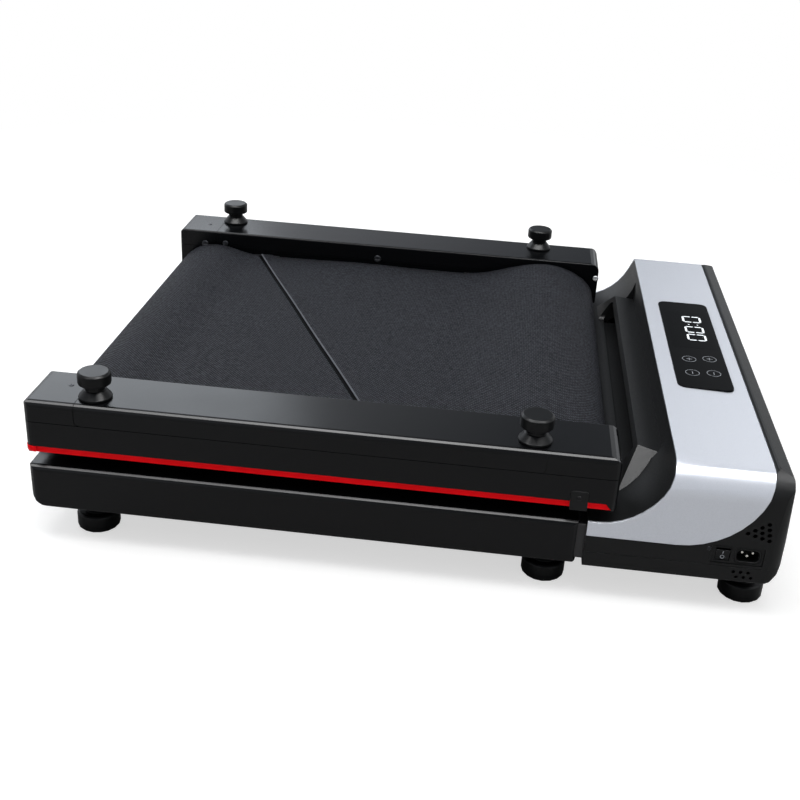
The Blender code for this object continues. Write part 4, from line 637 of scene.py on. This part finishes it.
# %% Decks, rollers, motor and hood
for node in ("front_deck", "rear_deck"):
    dress(node, FIBREBOARD, 0.5)
for node in ("front_roller_tube", "rear_roller_tube", "front_roller_axle", "rear_roller_axle",
             "motor_shaft"):
    dress(node, STEEL, 0.2)
dress("motor_can", POWDER_COAT)
dress("motor_controller", CAST)
dress("drive_belt", RUBBER, 0.2)
dress("hood_shell", GRAINED_ABS, 0.5)
dress("silver_band", SILVER, 1.0, 3)
dress("base_pan", GRAINED_ABS, 0.3)
dress("belt_entry_guard", GRAINED_ABS)
dress("display_panel", ACRYLIC, 0.3)
dress("display_board", BOARD, 0.1)
dress("remote_window", RECEIVER, 0.2)
dress("mains_plate", GRAINED_ABS, 0.2)
dress("power_inlet", GRAINED_ABS, 0.2)
dress("power_rocker", BLACK_ABS, 0.3)

# %% [markdown]
# The inlet's three pins are one solid with its plastic socket. They are nickel-plated brass, so
# the faces that belong to them get their own metal, found by where they lie in the socket.

# %% Nickel pins
def nickel():
    material, tree, shader = finish("nickel plated brass", "#d8d6cf", 0.22, Metallic=1.0)
    place = add(tree, "ShaderNodeTexCoord").outputs["Object"]
    rub = add(tree, "ShaderNodeTexNoise", {"Vector": place, "Scale": 900.0, "Detail": 2.0})
    tree.links.new(between(tree, rub.outputs["Fac"], 0.16, 0.32), shader.inputs["Roughness"])
    return material


PIN_PLACES = ((-4.5, 1.4), (4.5, 1.4), (0.0, -1.8))    # from the middle of the socket, in mm
BACK_WALL = 3                                          # thickness behind the pins, in mm


def plate_pins(radius=1.35):
    mesh = bpy.data.objects["power_inlet_skin"].data
    mesh.materials.append(nickel())
    low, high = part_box("power_inlet")
    middle = [(low[axis] + high[axis]) / 2 / MM for axis in (0, 2)]
    tips = []
    for face in mesh.polygons:
        x, y, z = face.center / MM
        spots = [(x - middle[0] - dx, z - middle[1] - dz) for dx, dz in PIN_PLACES]
        if min(math.hypot(*spot) for spot in spots) < radius and y < high[1] / MM - BACK_WALL:
            face.material_index = 1
            tips.append(face.index)
    print("pin faces:", len(tips))


plate_pins()

# %% [markdown]
# The belt is one loop, and folded up it is slack: it lies in a long flat sag under tension
# wrinkles, then stands up in a bulge at the far end of the folded half. It is drawn as sheets
# that follow its line from the side, so each path below is that line for one length of belt.

# %% Curves seen from the side
def arc(centre, radii, start, end, power=2.0, steps=24):
    """Points on an ellipse, or a squarer one where power is over 2, between two angles."""
    points = []
    for step in range(steps + 1):
        angle = math.radians(start + (end - start) * step / steps)
        c, s = math.cos(angle), math.sin(angle)
        points.append((centre[0] + radii[0] * math.copysign(abs(c) ** (2 / power), c),
                       centre[1] + radii[1] * math.copysign(abs(s) ** (2 / power), s)))
    return points


def ease(first, last, steps):
    """Points of a soft step from one (reach, height) to another."""
    points = []
    for step in range(steps + 1):
        share = step / steps
        lift = (1 - math.cos(math.pi * share)) / 2
        points.append((first[0] + (last[0] - first[0]) * share, first[1] + (last[1] - first[1]) * lift))
    return points


def straight(first, last, pitch=6.0):
    count = max(2, round(math.dist(first, last) / pitch))
    return [tuple(a + (b - a) * i / count for a, b in zip(first, last)) for i in range(count + 1)]


print("points on a quarter circle:", len(arc((0, 0), (1, 1), 0, 90)))

# %% [markdown]
# All heights start from the level of the fold's axis, since the belt turns round it. Folded up,
# the walking runs lie face to face near that level. The return runs lie outside them, the slack
# one above and the tight one below.

# %% Lines that the belt follows
LEVEL = FOLD_Z / MM
WALK = 12.45                      # from the fold's level to either walking run
CREST, SAG, BULGE = 42.55, 34.05, 53.55    # heights of the slack run over the fold's level
RETURN = 46.65                    # from the fold's level down to the front return run
ROLLER_R = 17.1                   # radius of the front roller with the belt on it
ROLLER = (528.5, LEVEL - RETURN + ROLLER_R)
START = 48.5                      # reach at which the loop ends and both return runs begin
LOOP, LOOP_L = 47.9, 46.5         # middle of the loop's ellipse, and its half length
FALL, LOW, RISE = 50.0, 99.5, 354.5        # where the slack run falls, lies low and rises
TAIL = (451.5, LEVEL + 18.05)     # middle of the bulge's upper curve
TUCK = (463.0, TAIL[1])           # middle of the lower curve, which tucks in under the roller
WALK_START = 5.6                  # the walking runs stop this short of the fold's axis

rear_return = straight((START, LEVEL + CREST), (FALL, LEVEL + CREST), 1.5)[:-1]
rear_return += ease((FALL, LEVEL + CREST), (LOW, LEVEL + SAG), 14)[:-1]
rear_return += straight((LOW, LEVEL + SAG), (RISE, LEVEL + SAG))[:-1]
rear_return += ease((RISE, LEVEL + SAG), (TAIL[0], LEVEL + BULGE), 22)[:-1]
rear_tail = arc(TAIL, (60.0, LEVEL + BULGE - TAIL[1]), 90, 0, 1.85, 30)
rear_tail += arc(TUCK, (rear_tail[-1][0] - TUCK[0], 5.6), 0, -90, 2.6, 12)[1:]
front_return = straight((START, LEVEL - RETURN), (ROLLER[0], LEVEL - RETURN))[:-1]
front_return += arc(ROLLER, (ROLLER_R, ROLLER_R), -90, 90, steps=28)
front_fold = arc((LOOP, LEVEL), (LOOP_L, RETURN), 270, 181, steps=28)
rear_fold = arc((LOOP, LEVEL), (LOOP_L, CREST), 179, 90, steps=28) + [(START, LEVEL + CREST)]
front_walk = straight((WALK_START, LEVEL - WALK), (528.2, LEVEL - WALK))
rear_walk = straight((WALK_START, LEVEL + WALK), (462.7, LEVEL + WALK))
print("points along the slack rear run:", len(rear_return + rear_tail))

# %% [markdown]
# Each length becomes a grid of small faces with a Solidify modifier for the 1.8 mm of belt.
# A map in metres, along and across, carries the diamonds round the bends. Slack belt is never
# quite even, so a few long ripples, under a millimetre high, cross the folded half.

# %% Ripples and belt sheets
BELT_T, BELT_HALF, ACROSS = 1.8, 205.0, 36


def ripple(reach, y):
    """Height in millimetres of two crossing waves, which fade out towards both ends of the run."""
    first, last, room = 60, 500, 60
    fade = min(1.0, max(0.0, (reach - first) / room)) * min(1.0, max(0.0, (last - reach) / room))
    long_wave = 0.5 * math.sin(reach / 41.0 + y / 95.0) + 0.35 * math.sin(reach / 23.0 - y / 60.0 + 1.3)
    return fade * long_wave


def belt_sheet(name, line, body, nodes, outward=1, slack=False):
    """A belt length along a line of (reach, height) points; outward 1 is the line's left side."""
    shape = bmesh.new()
    layer = shape.loops.layers.uv.new("belt")
    rows, travel, run = [], [], 0.0
    for index, (reach, z) in enumerate(line):
        if index:
            run += math.dist(line[index - 1], line[index]) * MM
        travel.append(run)
        row = []
        for column in range(ACROSS + 1):
            y = -BELT_HALF + 2 * BELT_HALF * column / ACROSS
            lift = ripple(reach, y) if slack else 0.0
            row.append(shape.verts.new(at(reach, y, z + lift)))
        rows.append(row)
    for i in range(len(rows) - 1):
        for j in range(ACROSS):
            corners = [(i, j), (i, j + 1), (i + 1, j + 1), (i + 1, j)]
            face = shape.faces.new([rows[a][b] for a, b in corners])
            face.smooth = True
            for loop, (a, b) in zip(face.loops, corners):
                loop[layer].uv = (travel[a], b / ACROSS * 2 * BELT_HALF * MM)
    piece = piece_of(name, shape, BELT)
    solid = piece.modifiers.new("belt thickness", "SOLIDIFY")
    solid.thickness, solid.offset = BELT_T * MM, -outward
    solid.use_even_offset = True
    with bpy.context.temp_override(object=piece, active_object=piece):
        bpy.ops.object.modifier_apply(modifier=solid.name)
    print(f"{name}: {run / MM:.1f} mm long")
    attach(piece, body)
    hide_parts(*nodes)
    return piece


# %% [markdown]
# A real belt runs endlessly, but here each length is tied to the half of the treadmill that
# carries it, so that it folds along. The two decks carry the walking runs, and each roller
# carries the return run that wraps round it.

# %% Four lengths of belt
belt_sheet("slack_rear_belt", rear_return + rear_tail, "rear_half", ["belt_rear_return"],
           -1, slack=True)
belt_sheet("rear_walking_run", rear_walk, "rear_half", ["belt_rear_walk"], 1)
belt_sheet("front_walking_run", front_walk, "front_half", ["belt_front_walk"], -1)
belt_sheet("front_return_run", front_return, "front_half", ["belt_front_return"],
           1)

# %% [markdown]
# Round the fold the belt hangs in a loose loop that opens flat when the treadmill is unfolded.
# It is drawn as two halves, one on each half of the treadmill.

# %% Loop at the fold
loops = [
    (belt_sheet("front_fold_loop", front_fold, "front_half", ["belt_front_fold"], -1), LEVEL - RETURN),
    (belt_sheet("rear_fold_loop", rear_fold, "rear_half", ["belt_rear_fold"], -1), LEVEL + CREST),
]
for loop, height in loops:
    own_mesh(loop)
print("loops at the fold:", [loop.name for loop, _ in loops])

# %% [markdown]
# At the fold the red stripe runs on round the rail's corner. The solid's stripe stops before
# that corner, so its end is drawn here as a thin strip that follows the corner's arc.

# %% Stripe round the corner
CORNER_X, CORNER_Y, CORNER_R, CORNER_STEPS = -318.95, -267.5, 7.5, 12


def stripe_end(word, side):
    """The profile gives how far each point stands proud of the rail, and its height."""
    path = [(CORNER_X + 2.35, CORNER_Y - CORNER_R)]
    for step in range(CORNER_STEPS + 1):
        turn = math.radians(-90 - 90 * step / CORNER_STEPS)
        path.append((CORNER_X + CORNER_R * math.cos(turn), CORNER_Y + CORNER_R * math.sin(turn)))
    path.append((CORNER_X - CORNER_R, CORNER_Y + 1.5))
    profile = [(0.05, 90.4), (0.3, 90.0), (0.55, 90.6), (0.6, 92.8), (0.55, 95.0), (0.3, 95.5), (0.05, 95.2)]
    shape = bmesh.new()
    rows = []
    for number, (x, y) in enumerate(path):
        turn = math.radians(min(90.0, max(0.0, 90 * (number - 1) / CORNER_STEPS)))
        out = Vector((-math.sin(turn), -math.cos(turn)))
        rows.append([shape.verts.new(((x + out.x * proud) * MM, -side * (y + out.y * proud) * MM, z * MM))
                     for proud, z in profile])
    for a, b in zip(rows, rows[1:]):
        for k in range(len(profile) - 1):
            shape.faces.new((a[k], a[k + 1], b[k + 1], b[k])).smooth = True
    shape.faces.new(rows[0])
    shape.faces.new(rows[-1])
    bmesh.ops.recalc_face_normals(shape, faces=shape.faces)
    piece = piece_of(f"stripe_end_{word}", shape, RED_ABS)
    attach(piece, "rear_half")
    return piece


for piece in (stripe_end("left", 1), stripe_end("right", -1)):
    print(piece.name, "with", len(piece.data.polygons), "faces")

# %% [markdown]
# The two ends of the belt are joined on the slant, so that the joint rolls over the rollers a
# little at a time. The upper end is feathered and glued down, and its edge stands up by two
# millimetres. A near-black strip beside it is painted shadow, so the joint shows as a thin line with a dark
# one beside it.

# %% Slanting joint of the belt
def slack_height(reach, y):
    return LEVEL + SAG + ripple(reach, y)


def belt_joint(start, end):
    """A feathered lap between two (reach, y) points; it is low at its right side."""
    steps = 60
    shape = bmesh.new()
    layer = shape.loops.layers.uv.new("belt")
    along = (Vector(end) - Vector(start)).normalized()
    right = Vector((-along.y, along.x)) if -along.y > 0 else Vector((along.y, -along.x))
    profile = [(-3.4, 0.03), (-1.6, 0.12), (-0.1, 0.1), (-0.3, 1.5), (0.3, 2.0), (1.3, 1.95), (15.0, 0.03)]
    strips = (1, 1, 1, 2, 2, 0)    # painted shadow, cut edge, then belt, between the profile's points
    rows = []
    for step in range(steps + 1):
        spot = Vector(start).lerp(Vector(end), step / steps)
        rows.append([(spot + right * side, lift) for side, lift in profile])
    grid = [[shape.verts.new(at(p.x, p.y, slack_height(p.x, p.y) + lift)) for p, lift in row]
            for row in rows]
    for i in range(steps):
        for j in range(len(strips)):
            corners = [(i, j), (i + 1, j), (i + 1, j + 1), (i, j + 1)]
            face = shape.faces.new([grid[a][b] for a, b in corners])
            face.smooth = True
            face.material_index = strips[j]
            for loop, (a, b) in zip(face.loops, corners):
                p = rows[a][b][0]
                loop[layer].uv = (p.x * MM, p.y * MM)
    bmesh.ops.recalc_face_normals(shape, faces=shape.faces)
    piece = piece_of("belt_joint", shape, BELT, PAINTED_JOINT_SHADOW, RAW_EDGE)
    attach(piece, "rear_half")
    return piece


joint = belt_joint((105.0, 203.0), (296.0, -203.0))
print("faces along the joint:", len(joint.data.polygons))

# %% [markdown]
# Small marks and screws lie on surfaces that may be tilted or curved. One function drops a ray
# onto a solid and gives the spot and the way that the surface faces, so that nothing floats.
# Another turns that into a place whose Z axis leaves the surface.

# %% Find a surface
def landing(nodes, start, direction):
    """The first spot that a ray meets on any of the named solids, and the way it faces there."""
    best = None
    for node in nodes:
        mesh = frame["nodes"][node].data
        faces = [tuple(face.vertices) for face in mesh.polygons]
        tree = BVHTree.FromPolygons([vertex.co for vertex in mesh.vertices], faces)
        spot, normal, _, distance = tree.ray_cast(Vector(start), Vector(direction))
        if spot and (best is None or distance < best[2]):
            best = (spot, normal, distance)
    return best[0], best[1]


def lying(spot, normal, up):
    z = normal.normalized()
    y = (Vector(up) - z * z.dot(Vector(up))).normalized()
    return Matrix.Translation(spot) @ Matrix((y.cross(z), y, z)).transposed().to_4x4()


def settle(name, shape, place, material, body):
    """Turns a finished bmesh, drawn round the origin, into a piece in its place."""
    shape.transform(place)
    piece = piece_of(name, shape, material)
    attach(piece, body)
    return piece


# %% [markdown]
# The display prints its clock with seven-segment digits, and each touch field is a fine ring
# with a sign in it. They are at most a twentieth of a millimetre thick, cut from flat outlines.

# %% Flat marks
def bar(x0, y0, x1, y1, width):
    """A segment with pointed ends between two points."""
    a, b = Vector((x0, y0)), Vector((x1, y1))
    d = (b - a).normalized() * width / 2
    n = Vector((-d.y, d.x))
    return [a, a + d - n, b - d - n, b, b - d + n, a + d + n]


def ring(x, y, radius, width, count=32):
    faces = []
    for step in range(count):
        c = [(math.cos(2 * math.pi * (step + k) / count), math.sin(2 * math.pi * (step + k) / count))
             for k in (0, 1)]
        faces.append([Vector((x + r * c[k][0], y + r * c[k][1]))
                      for r, k in ((radius, 0), (radius, 1), (radius - width, 1), (radius - width, 0))])
    return faces


def marks(name, outlines, place, material, body, thick=0.05):
    shape = bmesh.new()
    for outline in outlines:
        shape.faces.new([shape.verts.new((p.x * MM, p.y * MM, 0.01 * MM)) for p in outline])
    bmesh.ops.remove_doubles(shape, verts=shape.verts, dist=1e-6)
    grown = bmesh.ops.extrude_face_region(shape, geom=shape.faces[:])
    lifted = [g for g in grown["geom"] if isinstance(g, bmesh.types.BMVert)]
    bmesh.ops.translate(shape, verts=lifted, vec=(0, 0, thick * MM))
    bmesh.ops.recalc_face_normals(shape, faces=shape.faces)
    return settle(name, shape, place, material, body)


def zero(x, y, wide, high, line):
    """The six lit segments of a 0, with (x, y) at its lower left."""
    half, gap, inset = high / 2, 0.5, line / 2
    left, right, low, top = x + inset, x + wide - inset, y + inset, y + high - inset
    segments = [bar(left + gap, level, right - gap, level, line) for level in (low, top)]
    for edge in (left, right):
        segments += [bar(edge, low + gap, edge, y + half - gap, line),
                     bar(edge, y + half + gap, edge, top - gap, line)]
    return segments


# %% [markdown]
# One ray finds the display's height and the way it faces, which is straight up. Places on it are
# in millimetres from the treadmill's middle, to the right and towards the hood. The clock's
# window lies lowest, and the lit digits and the printed fields lie on top of it.

# %% Display window, clock and touch fields
spot, normal = landing(["display_panel"], (0.276, 0.0, 0.3), (0, 0, -1))
deck = lying(Vector((0, 0, spot.z)), normal, (1, 0, 0))
WINDOW_LEFT, WINDOW_RIGHT, WINDOW_LOW, WINDOW_TOP, WINDOW_R = -80.0, 13.0, 256.5, 294.5, 3.0
PLUS, MINUS = [(45.0, 266.6), (41.0, 287.0)], [(78.0, 266.1), (75.5, 287.0)]
ARM, HUB, STROKE = 3.1, 0.45, 0.8

edge = []
for cx, cy, first in ((WINDOW_RIGHT, WINDOW_TOP, 0), (WINDOW_LEFT, WINDOW_TOP, 90),
                      (WINDOW_LEFT, WINDOW_LOW, 180), (WINDOW_RIGHT, WINDOW_LOW, 270)):
    for step in range(7):
        turn = math.radians(first + 15 * step)
        edge.append(Vector((cx + WINDOW_R * math.cos(turn), cy + WINDOW_R * math.sin(turn))))
marks("display_window", [edge], deck, WINDOW, "front_half", 0.03)
deck = deck @ Matrix.Translation((0, 0, 0.04 * MM))

clock = []
for x in (-71.5, -42.8, -21.6):
    clock += zero(x, 270.8, 17.2, 20.0, 2.2)
for y in (276.4, 285.6):
    clock.append(bar(-49.2, y, -47.0, y, 2.0))
marks("clock_digits", clock, deck, LIT, "front_half")

fields = []
for x, y in PLUS + MINUS:
    fields += ring(x, y, 6.9, 0.6)
    fields.append(bar(x - ARM, y, x + ARM, y, STROKE))
for x, y in PLUS:
    fields += [bar(x, y + HUB, x, y + ARM, STROKE), bar(x, y - ARM, x, y - HUB, STROKE)]
marks("touch_fields", fields, deck, PRINT, "front_half")
print("display marks sit at z =", round(spot.z, 5), "facing", [round(part, 4) for part in normal])

# %% [markdown]
# The mains switch carries a line and a ring, the usual signs for on and off. Each is dropped on
# its own half of the rocker, since the two halves slope apart, and both tilt with the rocker.

# %% Signs on the mains switch
low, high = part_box("power_rocker")
middle, half = (low[0] + high[0]) / 2, (high[2] - low[2]) / 2
for name, z, outlines in (("switch_on_mark", low[2] + 1.5 * half, [bar(0, -1.7, 0, 1.7, 0.8)]),
                          ("switch_off_mark", low[2] + 0.55 * half, ring(0, 0, 1.9, 0.7))):
    spot, normal = landing(["power_rocker"], (middle, -0.4, z), (0, 1, 0))
    marks(name, outlines, lying(spot, normal, (0, 0, 1)), PRINT, "rocker")
    print(name, "faces", [round(part, 3) for part in normal])

# %% [markdown]
# The screws that show are small pan heads with a cross recess. A head is a grid of rings whose
# height follows a low dome, and the points inside the cross are pushed down.

# %% Screws
CROSS_HALF, CROSS_REACH, CROSS_FLOOR = 0.15, 0.62, 0.25    # shares of the radius and of the height


def screw(name, nodes, start, direction, radius, height, material, body):
    spot, normal = landing(nodes, start, direction)
    up = (0, 0, 1) if abs(normal.z) < 0.7 else (0, 1, 0)
    shape = bmesh.new()
    rings, spokes = 12, 48
    grid = []
    for number in range(rings + 2):
        share = min(1.0, number / rings)
        row = []
        for spoke in range(spokes):
            turn = 2 * math.pi * spoke / spokes
            x, y = share * math.cos(turn), share * math.sin(turn)
            lift = 0.02 if number > rings else height * (1 - 0.6 * share ** 3)
            if min(abs(x), abs(y)) < CROSS_HALF and max(abs(x), abs(y)) < CROSS_REACH:
                lift = height * CROSS_FLOOR
            row.append(shape.verts.new((x * radius * MM, y * radius * MM, lift * MM)))
        grid.append(row)
    bmesh.ops.remove_doubles(shape, verts=grid[0], dist=1e-7)
    shape.verts.ensure_lookup_table()
    hub = min(shape.verts, key=lambda v: v.co.x ** 2 + v.co.y ** 2)
    for number in range(rings + 1):
        for spoke in range(spokes):
            after = (spoke + 1) % spokes
            if number:
                corners = [grid[number][spoke], grid[number + 1][spoke], grid[number + 1][after],
                           grid[number][after]]
            else:
                corners = [hub, grid[1][spoke], grid[1][after]]
            shape.faces.new(corners).smooth = True
    return settle(name, shape, lying(spot, normal, up), material, body)


# Each rail screw's x and z in metres, its radius in millimetres, and its metal.
RAIL_SCREWS = ((-0.2955, 0.122, 4.2, BLACKENED), (-0.2700, 0.1245, 3.6, BLACKENED),
               (-0.0800, 0.1216, 4.4, BLACKENED), (0.1856, 0.1210, 3.4, STEEL))
INNER = ("rear_rail_cover", "rear_hinge_cap", "rear_rail_skirt", "rear_side_tube")
for number, (x, z, radius, metal) in enumerate(RAIL_SCREWS, 1):
    for word, side, first in (("left", 1, 0), ("right", -1, len(RAIL_SCREWS))):
        screw(f"rail_screw_{first + number}", [f"{node}_{word}" for node in INNER], (x, side * 0.16, z),
              (0, side, 0), radius, 1.3, metal, "rear_half")
for word, side in (("left", 1), ("right", -1)):
    screw(f"cap_screw_{word}", [f"rear_hinge_cap_{word}"], (-0.2955, side * 0.237, 0.3), (0, 0, -1),
          2.4, 0.5, BLACKENED, "rear_half")
    screw(f"hood_screw_{word}", ["hood_shell"], (0.2696, side * 0.4, 0.063), (0, -side, 0),
          1.9, 0.5, BLACKENED, "front_half")
